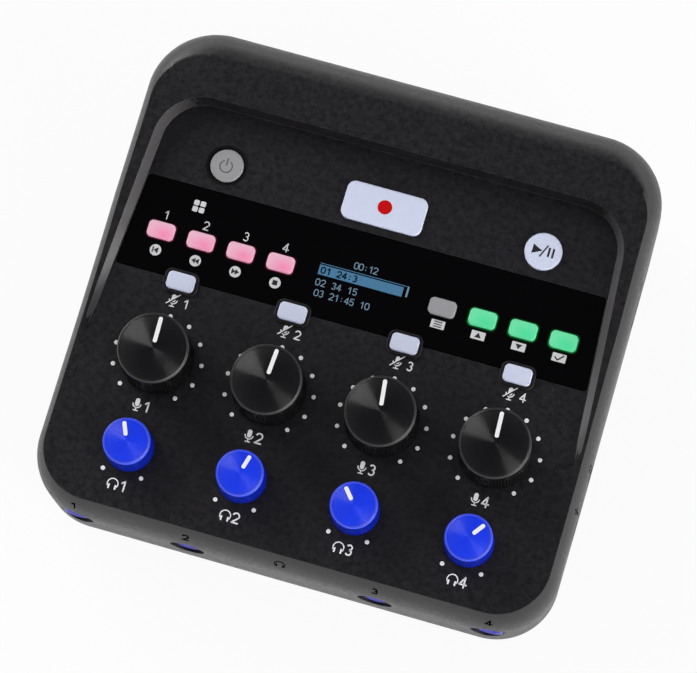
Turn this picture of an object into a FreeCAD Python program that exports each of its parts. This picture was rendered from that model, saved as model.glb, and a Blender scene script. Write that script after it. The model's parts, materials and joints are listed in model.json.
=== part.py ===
import FreeCAD, Part
import math
import os
from types import SimpleNamespace

import Sketcher
from FreeCAD import Placement, Rotation, Vector

# A four-channel podcast recorder, in millimetres. +X is to the user's right, +Y to the back and +Z up.
# The origin is under the middle of the case, on the surface that the feet stand on.
# Most sketches lie in the panel's own frame: its origin is on the panel's surface in the middle of the
# gain knobs' row, with x to the right, y up the slope to the back and z square to the panel.

SIZES = {
    # The panel's plane and where it stands in the case
    "panel_tilt": 8.0,
    "panel_height": 30.5,
    "panel_set_back": 21.16,
    "channel_pitch": 27.0,
    # The case's rim, its rolled flanks and its walls
    "rim_half_width": 60.25,
    "rim_taper": 0.5,
    "rim_front": 36.2,
    "rim_back": 71.5,
    "rim_front_corner": 12.5,
    "rim_back_corner": 14.0,
    "hood_slope": 4.9,
    "side_roll": 17.0,
    "front_roll": 20.0,
    "flank_start": 60.0,
    "back_roll": 10.3,
    "back_start": 12.0,
    "side_tuck": 0.7,
    "wall": 2.2,
    "panel_thickness": 2.0,
    "case_depth": 40.0,
    "parting_height": 7.5,
    "parting_gap": 0.1,
    "underside_height": 2.0,
    "floor_thickness": 2.2,
    "underside_round": 1.8,
    "fit_gap": 0.15,
    # The recess behind the knobs, from its floor's outline up to the rim's inner edge
    "recess_floor_front": 58.3,
    "recess_floor_taper": 0.064,
    "recess_floor_back": 61.6,
    "recess_floor_corner": 10.5,
    "recess_rim_front": 60.25,
    "recess_rim_taper": 0.0716,
    "recess_rim_back": 62.2,
    "recess_rim_corner": 12.0,
    "recess_run_out": 1.5,
    "recess_rise": 0.15,
    "hood_hollow_half_width": 49.25,
    # The gloss strip and the display behind it
    "window_front": 19.4,
    "window_back": 41.8,
    "window_front_half": 56.7,
    "window_back_half": 55.2,
    "window_corner": 0.8,
    "window_thickness": 1.2,
    "display_row": 29.8,
    "display_width": 21.74,
    "display_depth": 10.86,
    "display_margin": 1.0,
    "module_width": 26.0,
    "module_depth": 15.6,
    "module_frame": 1.5,
    "module_glass": 1.5,
    # Buttons: caps, collars, flanges, stems and travel
    "key_row": 29.35,
    "key_first": 19.5,
    "key_pitch": 9.67,
    "key_width": 6.4,
    "key_depth": 4.0,
    "key_corner": 1.1,
    "key_proud": 0.9,
    "key_round": 0.35,
    "key_clearance": 0.2,
    "key_lip": 0.6,
    "key_lip_thickness": 0.8,
    "key_lip_gap": 0.1,
    "key_stem_radius": 1.3,
    "key_travel": 0.6,
    "key_rest_gap": 0.05,
    "mute_row": 18.75,
    "mute_width": 6.6,
    "mute_depth": 4.2,
    "mute_proud": 1.0,
    "collar_width": 8.2,
    "collar_depth": 5.6,
    "collar_corner": 1.7,
    "collar_proud": 0.5,
    "top_row": 48.5,
    "record_width": 19.4,
    "record_depth": 9.2,
    "record_corner": 2.0,
    "side_button_place": 38.3,
    "power_radius": 3.9,
    "power_dish_radius": 5.0,
    "power_dish_depth": 0.5,
    "power_proud": 0.3,
    "play_radius": 4.4,
    # Circuit boards and what stands on the one under the panel
    "board_thickness": 1.6,
    "board_depth": 7.5,
    "board_half_width": 57.3,
    "board_front": 28.5,
    "board_back": 53.0,
    "board_corner": 3.0,
    "notch_half_width": 3.6,
    "switch_width": 4.6,
    "switch_body": 2.6,
    "switch_height": 3.2,
    "switch_plunger_radius": 1.2,
    # Rotary controls, their shafts and knobs
    "volume_row": 21.8,
    "pot_height": 3.9,
    "pot_bushing_top": 0.6,
    "pot_floor": 0.5,
    "shaft_end_gap": 0.2,
    "shaft_gap": 0.08,
    "shaft_flat": 0.55,
    "bore_gap": 0.04,
    "gain_pot_width": 9.8,
    "gain_bushing_radius": 3.7,
    "gain_shaft_radius": 3.0,
    "gain_shaft_top": 9.0,
    "gain_base_radius": 8.6,
    "gain_edge_radius": 8.45,
    "gain_top_radius": 8.1,
    "gain_shoulder": 11.05,
    "gain_height": 11.5,
    "gain_hollow_radius": 7.2,
    "gain_hub_radius": 4.2,
    "gain_grooves": 40,
    "volume_pot_width": 8.4,
    "volume_bushing_radius": 2.7,
    "volume_shaft_radius": 2.0,
    "volume_shaft_top": 6.2,
    "volume_base_radius": 5.8,
    "volume_edge_radius": 5.55,
    "volume_top_radius": 5.3,
    "volume_shoulder": 7.85,
    "volume_height": 8.2,
    "volume_hollow_radius": 4.6,
    "volume_hub_radius": 3.0,
    "volume_grooves": 30,
    "knob_lift": 0.4,
    "knob_roof": 2.2,
    "groove_depth": 0.25,
    "groove_width": 0.6,
    "pointer_width": 0.95,
    "pointer_depth": 0.3,
    "pointer_start": 1.3,
    "pointer_margin": 0.7,
    # Where each knob's pointer stands, in degrees clockwise from straight back
    "gain_turn_1": -1.7,
    "gain_turn_2": 3.5,
    "gain_turn_3": -7.0,
    "gain_turn_4": -2.7,
    "volume_turn_1": -23.0,
    "volume_turn_2": 15.0,
    "volume_turn_3": -40.0,
    "volume_turn_4": 36.0,
    # Front jacks, along the case's own horizontal
    "jack_height": 13.1,
    "jack_spacing": 27.0,
    "jack_inner": 22.6,
    "jack_set_in": 3.45,
    "jack_width": 6.0,
    "jack_body_height": 6.2,
    "jack_length": 14.5,
    "jack_bore_radius": 1.8,
    "jack_bore_length": 14.0,
    "jack_front_bevel": 1.1,
    "ring_radius": 3.5,
    "ring_length": 2.1,
    "spot_radius": 4.15,
    "spot_back": 0.2,
    "jack_board_half_width": 53.0,
    "jack_board_depth": 14.2,
    # Ports in the right flank, hung under the panel's board
    "port_case_reach": 59.4,
    "phone_row": 2.5,
    "phone_width": 6.4,
    "phone_height": 5.0,
    "phone_spot_radius": 4.1,
    "port_spot_depth": 0.9,
    "phone_opening_radius": 2.6,
    "usb_row": -8.3,
    "usb_width": 8.94,
    "usb_height": 3.26,
    "usb_length": 7.4,
    "usb_mouth": 60.8,
    "usb_shell": 0.35,
    "usb_tongue_width": 6.7,
    "usb_tongue_thickness": 0.7,
    "usb_tongue_length": 5.0,
    "usb_spot_width": 11.0,
    "usb_spot_height": 5.2,
    # The card slot and its door
    "card_row": 47.5,
    "card_cage_width": 14.6,
    "card_cage_height": 1.9,
    "card_cage_length": 14.8,
    "card_slit_width": 11.2,
    "card_slit_height": 1.0,
    "card_slit_depth": 12.5,
    "door_frame_reach": 58.0,
    "door_frame_margin": 2.4,
    "cover_length": 17.4,
    "cover_height": 7.2,
    "cover_middle": 9.0,
    "cover_face": 62.1,
    "cover_thickness": 1.7,
    "cover_gap": 0.25,
    "cover_corner": 1.0,
    "cover_pin_radius": 0.55,
    "cover_pin_reach": 0.7,
    "cover_pin_gap": 0.12,
    "cover_room": 0.7,
    "finger_notch_radius": 2.3,
    # Microphone sockets in the rear wall
    "xlr_height": 21.6,
    "xlr_body_radius": 11.4,
    "xlr_gap": 0.15,
    "xlr_face_set_in": 0.25,
    "xlr_length": 21.8,
    "xlr_insert_radius": 8.0,
    "insert_gap": 0.05,
    "xlr_slot_radius": 9.6,
    "xlr_slot_depth": 15.0,
    "xlr_key_width": 3.0,
    "xlr_key_reach": 10.5,
    "xlr_pole_side": 3.87,
    "xlr_pole_up": 1.9,
    "xlr_pole_down": 4.3,
    "xlr_pole_radius": 1.35,
    "xlr_pole_depth": 13.0,
    "xlr_tail_radius": 0.6,
    "xlr_tail_out": 1.5,
    "xlr_board_half_width": 54.0,
    "xlr_board_foot": 0.2,
    "xlr_board_top": 33.5,
    "xlr_rib_thickness": 1.3,
    "xlr_rib_height": 3.2,
    "xlr_rib_half_length": 50.0,
    # The battery box, its cells and its door, left of the middle
    "cell_radius": 7.1,
    "cell_length": 49.2,
    "cell_tip_radius": 2.7,
    "cell_tip_length": 1.3,
    "cell_pitch": 14.6,
    "cell_clearance": 0.3,
    "contact_thickness": 0.4,
    "contact_width": 11.0,
    "spring_length": 2.2,
    "spring_radius": 3.6,
    "spring_taper": 35.0,
    "box_right": 4.3,
    "box_wall": 1.2,
    "door_right": 3.0,
    "door_half_width": 17.0,
    "door_thickness": 1.6,
    "door_lip": 0.9,
    "door_lip_thickness": 0.7,
    "door_lip_left": 57.0,
    # Feet and screws
    "foot_radius": 5.5,
    "foot_sink": 0.6,
    "foot_side": 46.0,
    "foot_front": 44.0,
    "foot_rear": 43.0,
    "boss_sink": 0.6,
    "case_boss_radius": 3.0,
    "case_boss_foot_radius": 3.4,
    "case_shank_radius": 1.3,
    "case_head_radius": 2.4,
    "case_head_height": 2.0,
    "case_head_sink": 0.3,
    "case_screw_length": 10.0,
    "corner_screw_side": 53.6,
    "corner_screw_front": 36.0,
    "middle_screw_side": 27.0,
    "middle_screw_rear": 30.0,
    "rear_screw_side": 56.0,
    "rear_screw_rear": 46.0,
    "board_boss_radius": 2.4,
    "board_shank_radius": 0.95,
    "board_head_radius": 1.9,
    "board_head_height": 1.1,
    "board_screw_length": 5.0,
    "screw_gap": 0.05,
    "board_screw_side": 27.0,
    "board_screw_front": 11.0,
    "board_screw_middle": 10.0,
    "board_screw_back_side": 22.0,
    "board_screw_back": 43.0,
    "jack_screw_side": 36.1,
    "jack_screw_front": 47.0,
}

CHANNELS = (-1.5, -0.5, 0.5, 1.5)
SMOOTH_STEPS = 4
CUT_REACH = 90.0
ROUND_END = 0.48

FACING_FRONT = Rotation(Vector(1, 0, 0), 90)
FACING_RIGHT = Rotation(Vector(1, 1, 1), 120)
FACING_BACK = Rotation(Vector(0, 1, 1), 180)


class Size:
    """A number that keeps the sheet's expression that it was worked out from."""

    def __init__(self, value, text=None):
        self.value = float(value)
        self.text = text or repr(float(value))

    def __float__(self):
        return self.value

    def __neg__(self):
        return Size(-self.value, f"(-1 * {self.text})")

    def __add__(self, other):
        other = as_size(other)
        return Size(self.value + other.value, f"({self.text} + {other.text})")

    def __sub__(self, other):
        other = as_size(other)
        return Size(self.value - other.value, f"({self.text} - {other.text})")

    def __mul__(self, other):
        other = as_size(other)
        return Size(self.value * other.value, f"({self.text} * {other.text})")

    def __truediv__(self, other):
        other = as_size(other)
        return Size(self.value / other.value, f"({self.text} / {other.text})")

    def __rsub__(self, other):
        return as_size(other) - self

    __radd__ = __add__
    __rmul__ = __mul__


def as_size(number):
    return number if isinstance(number, Size) else Size(number)


def root(number):
    return Size(math.sqrt(number.value), f"sqrt({number.text})")


def sine(angle):
    return Size(math.sin(math.radians(angle.value)), f"sin({angle.text})")


def cosine(angle):
    return Size(math.cos(math.radians(angle.value)), f"cos({angle.text})")


def smaller(first, second):
    return Size(min(first.value, second.value), f"min({first.text}; {second.text})")


def larger(first, second):
    second = as_size(second)
    return Size(max(first.value, second.value), f"max({first.text}; {second.text})")


doc = FreeCAD.newDocument("podcast_recorder")
sheet = doc.addObject("Spreadsheet::Sheet", "sizes")
for row, (alias, number) in enumerate(SIZES.items(), start=1):
    sheet.set(f"A{row}", alias)
    sheet.set(f"B{row}", str(number))
    sheet.setAlias(f"B{row}", alias)
doc.recompute()
dim = SimpleNamespace(**{name: Size(number, f"sizes.{name}") for name, number in SIZES.items()})
pieces = []


# Frames and bodies


def at(x=0, y=0, z=0, turn=Rotation()):
    """The frame at a place, turned from the one that holds it."""
    return Placement(Vector(float(x), float(y), float(z)), turn)


PANEL = at(0, -dim.panel_set_back, dim.panel_height, Rotation(Vector(1, 0, 0), float(dim.panel_tilt)))


def in_panel(frame):
    """A frame of the whole part, as the panel's frame sees it."""
    return PANEL.inverse().multiply(frame)


def on_panel(x, y, z=0.0):
    """Where a point of the panel's frame lies in the whole part."""
    up, along = sine(dim.panel_tilt), cosine(dim.panel_tilt)
    return as_size(x), y * along - z * up - dim.panel_set_back, y * up + z * along + dim.panel_height


def panel_row(y, z):
    """The panel's y of a place given by the part's y, at a height z in the panel's frame."""
    return (y + dim.panel_set_back + z * sine(dim.panel_tilt)) / cosine(dim.panel_tilt)


def new_body(name, place=(0.0, 0.0, 0.0), turn=Rotation()):
    body = doc.addObject("PartDesign::Body", name)
    body.Label = name
    body.Placement = at(*place, turn)
    for axis, number in zip("xyz", place):
        if isinstance(number, Size):
            body.setExpression(f"Placement.Base.{axis}", number.text)
    pieces.append(body)
    return body


def panel_body(name, x=0.0, y=0.0, clockwise=0.0):
    """A body whose own frame is the panel's, moved to a place on it and turned about its normal."""
    turn = PANEL.Rotation.multiply(Rotation(Vector(0, 0, 1), -float(clockwise)))
    body = new_body(name, on_panel(as_size(x), as_size(y)), turn)
    if not isinstance(clockwise, Size):
        body.setExpression("Placement.Rotation.Angle", dim.panel_tilt.text)
    return body


def origin_feature(body, role):
    return next(feature for feature in body.Origin.OriginFeatures if feature.Role == role)


def new_sketch(body, name, frame):
    """A sketch on the body's base plane, or in a frame set off from it. A Size is a height above it."""
    sketch = body.newObject("Sketcher::SketchObject", f"{body.Name}_{name}")
    sketch.AttachmentSupport = [(origin_feature(body, "XY_Plane"), "")]
    sketch.MapMode = "FlatFace"
    if isinstance(frame, Placement):
        sketch.AttachmentOffset = frame
    else:
        sketch.AttachmentOffset = at(z=frame)
        sketch.setExpression("AttachmentOffset.Base.z", as_size(frame).text)
    return sketch


# Drawing in a sketch


def bind(sketch, constraints):
    """Adds each constraint, with its number tied to the sheet where it comes from there."""
    made = [Sketcher.Constraint(*[float(item) if isinstance(item, Size) else item for item in given])
            for given in constraints]
    numbers = sketch.addConstraint(made)
    for number, given in zip(numbers, constraints):
        if isinstance(given[-1], Size):
            sketch.setExpression(f"Constraints[{number}]", given[-1].text)


def circle(sketch, x, y, radius):
    x, y, radius = as_size(x), as_size(y), as_size(radius)
    ring = sketch.addGeometry(Part.Circle(Vector(x.value, y.value, 0), Vector(0, 0, 1), radius.value), False)
    bind(sketch, [
        ("Radius", ring, radius),
        ("DistanceX", -1, 1, ring, 3, x),
        ("DistanceY", -1, 1, ring, 3, y),
    ])


def outline(sketch, corners):
    """A closed line through corners (x, y, radius). A corner with no radius stays sharp."""
    corners = [(as_size(x), as_size(y), None if radius is None else as_size(radius))
               for x, y, radius in corners]
    points = [Vector(x.value, y.value, 0) for x, y, _ in corners]
    count = len(corners)
    starts, ends, bends = [], [], []
    for place, (x, y, radius) in enumerate(corners):
        point = points[place]
        if radius is None:
            starts.append(point)
            ends.append(point)
            bends.append(None)
            continue
        back = (points[place - 1] - point).normalize()
        ahead = (points[(place + 1) % count] - point).normalize()
        half_turn = back.getAngle(ahead) / 2
        middle = (back + ahead).normalize()
        starts.append(point + back * (radius.value / math.tan(half_turn)))
        ends.append(point + ahead * (radius.value / math.tan(half_turn)))
        nearest = point + middle * (radius.value / math.sin(half_turn) - radius.value)
        bends.append(Part.Arc(starts[-1], nearest, ends[-1]))
    lines = sketch.addGeometry([Part.LineSegment(ends[i - 1], starts[i]) for i in range(count)], False)
    constraints = []
    for place, (x, y, radius) in enumerate(corners):
        line, following = lines[place], lines[(place + 1) % count]
        if radius is None:
            constraints.append(("Coincident", line, 2, following, 1))
            mark, end = line, 2
        else:
            arc = sketch.addGeometry(bends[place], False)
            mark, end = sketch.addGeometry(Part.Point(points[place]), True), 1
            first = 1 if sketch.Geometry[arc].StartPoint.distanceToPoint(starts[place]) < 1e-6 else 2
            constraints += [
                ("Tangent", line, 2, arc, first),
                ("Tangent", following, 1, arc, 3 - first),
                ("PointOnObject", mark, 1, line),
                ("PointOnObject", mark, 1, following),
                ("Radius", arc, radius),
            ]
        constraints.append(("DistanceX", -1, 1, mark, end, x))
        constraints.append(("DistanceY", -1, 1, mark, end, y))
    bind(sketch, constraints)


def both_sides(right):
    """A closed outline's corners from those of its right half, given from front to back."""
    return right + [(-x, y, radius) for x, y, radius in reversed(right)]


def rectangle(sketch, x, y, width, depth, radius=None):
    """A rectangle about its middle, with rounded corners where a radius is given."""
    x, y, across, along = as_size(x), as_size(y), as_size(width) / 2, as_size(depth) / 2
    outline(sketch, [
        (x - across, y - along, radius),
        (x + across, y - along, radius),
        (x + across, y + along, radius),
        (x - across, y + along, radius),
    ])


def flatted_circle(sketch, radius, flat):
    """A circle about the origin with one flat on its right side, at the given distance."""
    half_chord = root(radius * radius - flat * flat)
    top, bottom = Vector(flat.value, half_chord.value, 0), Vector(flat.value, -half_chord.value, 0)
    arc = sketch.addGeometry(Part.Arc(top, Vector(-radius.value, 0, 0), bottom), False)
    chord = sketch.addGeometry(Part.LineSegment(bottom, top), False)
    bind(sketch, [
        ("Coincident", arc, 3, -1, 1),
        ("Coincident", arc, 2, chord, 1),
        ("Coincident", arc, 1, chord, 2),
        ("Vertical", chord),
        ("Radius", arc, radius),
        ("DistanceX", -1, 1, chord, 1, flat),
    ])


# Features


def extrude(body, kind, sketch, length, backwards, both):
    feature = body.newObject(f"PartDesign::{kind}", f"{sketch.Name}_{kind.lower()}")
    feature.Profile = sketch
    feature.Length = float(length)
    if isinstance(length, Size):
        feature.setExpression("Length", length.text)
    feature.Reversed = backwards
    feature.Midplane = both
    return feature


def pad(body, sketch, length, backwards=False, both=False):
    """Material from the sketch along its normal, or the other way, or to both sides."""
    return extrude(body, "Pad", sketch, length, backwards, both)


def cut_down(body, sketch, depth, both=False):
    """A cut from the sketch against its normal, or to both sides."""
    return extrude(body, "Pocket", sketch, depth, False, both)


def cut_up(body, sketch, depth):
    """A cut from the sketch along its normal."""
    return extrude(body, "Pocket", sketch, depth, True, False)


def loft(body, kind, sections, ruled):
    feature = body.newObject(f"PartDesign::{kind}", f"{sections[0].Name}_loft")
    feature.Profile = sections[0]
    feature.Sections = sections[1:]
    feature.Ruled = ruled
    return feature


def revolve(body, sketch, kind="Revolution"):
    """Turns the sketch once about its own upright axis."""
    feature = body.newObject(f"PartDesign::{kind}", f"{sketch.Name}_turned")
    feature.Profile = sketch
    feature.ReferenceAxis = (sketch, ["V_Axis"])
    feature.Angle = 360
    return feature


def edges_where(feature, wanted):
    """Names of the feature's edges whose middle passes a test."""
    doc.recompute()
    return [f"Edge{number}" for number, edge in enumerate(feature.Shape.Edges, start=1)
            if wanted(edge.CenterOfMass)]


def round_off(body, feature, wanted, radius):
    edges = edges_where(feature, wanted)
    fillet = body.newObject("PartDesign::Fillet", f"{feature.Name}_rounded")
    fillet.Base = (feature, edges)
    fillet.Radius = float(radius)
    fillet.setExpression("Radius", as_size(radius).text)
    return fillet


def repeat_round(body, feature, count):
    """Copies of a feature, evenly spaced round the body's own z axis."""
    pattern = body.newObject("PartDesign::PolarPattern", f"{feature.Name}_round")
    pattern.Originals = [feature]
    pattern.Axis = (origin_feature(body, "Z_Axis"), [""])
    pattern.Angle = 360
    pattern.Occurrences = int(count.value)
    pattern.setExpression("Occurrences", count.text)
    body.Tip = pattern
    return pattern


# Places that several pieces share

hood_rise = dim.rim_back * sine(dim.hood_slope) / cosine(dim.hood_slope)
front_drop = dim.front_roll * cosine(dim.flank_start)
back_drop = dim.back_roll * cosine(dim.back_start)
front_bulge = dim.front_roll * (1 - sine(dim.flank_start))
side_bulge = dim.side_roll * (1 - sine(dim.flank_start))
board_top = -dim.board_depth
board_underside = board_top - dim.board_thickness
key_foot = board_top + dim.switch_height + dim.key_travel + dim.key_rest_gap
floor_top = dim.underside_height + dim.floor_thickness
case_front = on_panel(0, -(dim.rim_front + front_bulge), -front_drop)[1]
case_back = on_panel(0, dim.rim_back + dim.back_roll * (1 - sine(dim.back_start)), hood_rise - back_drop)[1]
jack_face = case_front + dim.jack_set_in
jack_board_top = dim.jack_height - dim.jack_body_height / 2
xlr_face = case_back - dim.xlr_face_set_in
xlr_rear = xlr_face - dim.xlr_length

gain_places = [(dim.channel_pitch * step, as_size(0)) for step in CHANNELS]
volume_places = [(dim.channel_pitch * step, -dim.volume_row) for step in CHANNELS]
gain_turns = [dim.gain_turn_1, dim.gain_turn_2, dim.gain_turn_3, dim.gain_turn_4]
volume_turns = [dim.volume_turn_1, dim.volume_turn_2, dim.volume_turn_3, dim.volume_turn_4]
mute_places = [(dim.channel_pitch * step, dim.mute_row) for step in CHANNELS]
pad_places = [(-(dim.key_first + dim.key_pitch * step), dim.key_row) for step in (3, 2, 1, 0)]
function_places = [(dim.key_first + dim.key_pitch * step, dim.key_row) for step in (0, 1, 2, 3)]
record_place = (as_size(0), dim.top_row)
power_place = (-dim.side_button_place, dim.top_row)
play_place = (dim.side_button_place, dim.top_row)
switch_places = (mute_places + pad_places + function_places + [record_place, power_place, play_place])
jack_places = [-(dim.jack_inner + dim.jack_spacing), -dim.jack_inner,
               dim.jack_inner, dim.jack_inner + dim.jack_spacing]
xlr_places = [dim.channel_pitch * step for step in CHANNELS]
case_screw_places = [(side * across, along)
                     for across, along in ((dim.corner_screw_side, -dim.corner_screw_front),
                                           (dim.middle_screw_side, dim.middle_screw_rear),
                                           (dim.rear_screw_side, dim.rear_screw_rear))
                     for side in (-1, 1)]
board_screw_places = [(side * across, along)
                      for across, along in ((dim.board_screw_side, -dim.board_screw_front),
                                            (dim.board_screw_side, dim.board_screw_middle),
                                            (dim.board_screw_back_side, dim.board_screw_back))
                      for side in (-1, 1)]
jack_screw_places = [(dim.jack_screw_side * step, -dim.jack_screw_front) for step in (-1, 0, 1)]


def draw_key(sketch, x, y, grow):
    rectangle(sketch, x, y, dim.key_width + 2 * grow, dim.key_depth + 2 * grow, dim.key_corner + grow)


def draw_mute(sketch, x, y, grow):
    rectangle(sketch, x, y, dim.mute_width + 2 * grow, dim.mute_depth + 2 * grow, dim.key_corner + grow)


def draw_record(sketch, x, y, grow):
    rectangle(sketch, x, y, dim.record_width + 2 * grow, dim.record_depth + 2 * grow,
              dim.record_corner + grow)


def draw_power(sketch, x, y, grow):
    circle(sketch, x, y, dim.power_radius + grow)


def draw_play(sketch, x, y, grow):
    circle(sketch, x, y, dim.play_radius + grow)


# The case


def roll(radius, start, depth):
    """How far a flank that starts at an angle to the rim's plane has swung out at a depth below it."""
    reach = radius * cosine(start)
    left = reach - smaller(depth, reach)
    return root(radius * radius - left * left) - radius * sine(start)


def draw_case(sketch, height, inset, tuck=0.0):
    """The case's outline at a height in the panel's frame. The flanks follow the hood's rising rim."""
    at_front = roll(dim.side_roll, dim.flank_start, -height)
    at_middle = roll(dim.side_roll, dim.flank_start, hood_rise / 2 - height)
    at_back = roll(dim.side_roll, dim.flank_start, hood_rise - height)
    front = dim.rim_front + roll(dim.front_roll, dim.flank_start, -height)
    shoulder = roll(dim.back_roll, dim.back_start, hood_rise - height)
    below = larger(hood_rise - height - back_drop, 0)
    lean = below * sine(dim.panel_tilt) / cosine(dim.panel_tilt)
    width = dim.rim_half_width - inset - tuck
    outline(sketch, both_sides([
        (width + at_front, inset - front, dim.rim_front_corner + at_front - inset),
        (width + at_front, as_size(0), None),
        (width + at_middle - dim.rim_taper / 2, dim.rim_back / 2, None),
        (width + at_back - dim.rim_taper, dim.rim_back + shoulder - lean - inset,
         dim.rim_back_corner + at_back - inset),
    ]))


def case_sections(body, name, heights, inset, place, tuck=0.0):
    """Outlines of the case at several heights. place turns a height into the sketch's frame."""
    sections = []
    for number, height in enumerate(heights):
        section = new_sketch(body, f"{name}_{number}", place(height))
        draw_case(section, height, as_size(inset), tuck if number == len(heights) - 1 else 0.0)
        sections.append(section)
    return sections


def roll_heights():
    """Heights of the outlines through the shoulder's roll and on down the front flank's."""
    step = (90 - dim.back_start) / SMOOTH_STEPS
    heights = [hood_rise - dim.back_roll * (cosine(dim.back_start) - cosine(dim.back_start + step * turn))
               for turn in range(SMOOTH_STEPS + 1)]
    return heights + [(heights[-1] - front_drop) / 2, -front_drop]


def cut_above_rim(body):
    """Cuts the top to the panel's plane in front and the rising hood's plane behind."""
    rise = as_size(CUT_REACH) * sine(dim.hood_slope) / cosine(dim.hood_slope)
    profile = new_sketch(body, "rim", at(turn=FACING_RIGHT))
    outline(profile, [
        (-CUT_REACH, 0, None),
        (0, 0, None),
        (CUT_REACH, rise, None),
        (CUT_REACH, CUT_REACH, None),
        (-CUT_REACH, CUT_REACH, None),
    ])
    cut_down(body, profile, 2 * CUT_REACH, both=True)


def cut_recess(body):
    """The sunk panel behind the knobs: its wall leans out and dies away towards the front."""
    floor = new_sketch(body, "recess_floor", as_size(0))
    outline(floor, both_sides([
        (dim.recess_floor_front + dim.recess_floor_taper * dim.recess_run_out, -dim.recess_run_out, None),
        (dim.recess_floor_front - dim.recess_floor_taper * dim.recess_floor_back,
         dim.recess_floor_back, dim.recess_floor_corner),
    ]))
    turn = Rotation(Vector(1, 0, 0), float(dim.hood_slope))
    rim = new_sketch(body, "recess_rim", at(turn=turn).multiply(at(z=dim.recess_rise)))
    outline(rim, both_sides([
        (dim.recess_rim_front + dim.recess_rim_taper * dim.recess_run_out, -dim.recess_run_out, None),
        (dim.recess_rim_front - dim.recess_rim_taper * dim.recess_rim_back,
         dim.recess_rim_back, dim.recess_rim_corner),
    ]))
    loft(body, "SubtractiveLoft", [floor, rim], ruled=True)


def draw_window(sketch, grow):
    outline(sketch, both_sides([
        (dim.window_front_half + grow, dim.window_front - grow, dim.window_corner + grow),
        (dim.window_back_half + grow, dim.window_back + grow, dim.window_corner + grow),
    ]))


def draw_collars(sketch, grow):
    for x, y in mute_places:
        rectangle(sketch, x, y, dim.collar_width + 2 * grow, dim.collar_depth + 2 * grow,
                  dim.collar_corner + grow)


def cut_panel_openings(body):
    """The strip's seat with the collars left standing in it, then every opening through the panel."""
    seat = new_sketch(body, "window_seat", as_size(0))
    draw_window(seat, dim.fit_gap)
    cut_down(body, seat, dim.window_thickness)
    collars = new_sketch(body, "collars", -dim.window_thickness)
    draw_collars(collars, as_size(0))
    pad(body, collars, dim.window_thickness + dim.collar_proud)
    for name, places, draw in (("pads", pad_places, draw_key), ("functions", function_places, draw_key),
                               ("mutes", mute_places, draw_mute)):
        keys = new_sketch(body, f"{name}_openings", dim.mute_proud)
        for x, y in places:
            draw(keys, x, y, dim.key_clearance)
        cut_down(body, keys, dim.mute_proud + dim.panel_thickness + dim.fit_gap)
    openings = new_sketch(body, "openings", dim.mute_proud)
    rectangle(openings, 0, dim.display_row, dim.display_width + 2 * dim.display_margin,
              dim.display_depth + 2 * dim.display_margin)
    draw_record(openings, *record_place, dim.key_clearance)
    draw_power(openings, *power_place, dim.key_clearance)
    draw_play(openings, *play_place, dim.key_clearance)
    for x, y in gain_places:
        circle(openings, x, y, dim.gain_bushing_radius + dim.key_clearance)
    for x, y in volume_places:
        circle(openings, x, y, dim.volume_bushing_radius + dim.key_clearance)
    cut_down(body, openings, dim.mute_proud + dim.panel_thickness + dim.fit_gap)
    dish = new_sketch(body, "power_dish", at(*power_place, 0, FACING_FRONT))
    outline(dish, [
        (0, -dim.power_dish_depth, None),
        (dim.power_radius, -dim.power_dish_depth, None),
        (dim.power_dish_radius, 0, None),
        (dim.power_dish_radius, dim.power_dish_depth, None),
        (0, dim.power_dish_depth, None),
    ])
    revolve(body, dish, "Groove")


def add_card_door_frame(body):
    """A block inside the right wall that carries the card door's seat, its pin holes and the slot."""
    block = new_sketch(body, "door_frame", at(dim.door_frame_reach, turn=FACING_RIGHT))
    rectangle(block, dim.card_row, -dim.cover_middle, dim.cover_length + 2 * dim.door_frame_margin,
              dim.cover_height + 2 * dim.door_frame_margin)
    pad(body, block, dim.cover_face - dim.cover_thickness - dim.door_frame_reach)
    seat = new_sketch(body, "cover_seat", at(dim.cover_face + dim.wall, turn=FACING_RIGHT))
    rectangle(seat, dim.card_row, -dim.cover_middle, dim.cover_length + 2 * dim.cover_gap,
              dim.cover_height + 2 * dim.cover_gap, dim.cover_corner)
    cut_down(body, seat, dim.wall + dim.cover_thickness + dim.cover_room)
    pins = new_sketch(body, "pin_holes", at(0, dim.card_row, 0, FACING_FRONT))
    circle(pins, cover_pin_reach_out(), cover_pin_height(), dim.cover_pin_radius + dim.cover_pin_gap)
    cut_down(body, pins, dim.cover_length + 2 * (dim.cover_gap + dim.cover_pin_reach), both=True)
    slot = new_sketch(body, "card_opening", at(dim.cover_face, turn=FACING_RIGHT))
    rectangle(slot, dim.card_row, card_middle(), dim.card_slit_width + 2 * dim.cover_gap,
              dim.card_slit_height + 2 * dim.cover_gap)
    cut_down(body, slot, dim.cover_face - dim.door_frame_reach + dim.wall)
    notch = new_sketch(body, "finger_notch", at(dim.cover_face + dim.wall, turn=FACING_RIGHT))
    circle(notch, dim.card_row, dim.cover_height / 2 - dim.cover_middle + dim.cover_gap,
           dim.finger_notch_radius)
    cut_down(body, notch, dim.wall + dim.cover_thickness)


def cover_pin_reach_out():
    return dim.cover_face - dim.cover_thickness / 2


def cover_pin_height():
    return dim.cover_thickness / 2 - dim.cover_middle - dim.cover_height / 2


def card_middle():
    return board_underside - dim.card_cage_height / 2


def phone_height():
    return board_underside - dim.phone_height / 2


def usb_height():
    return board_underside - dim.usb_height / 2


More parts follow.
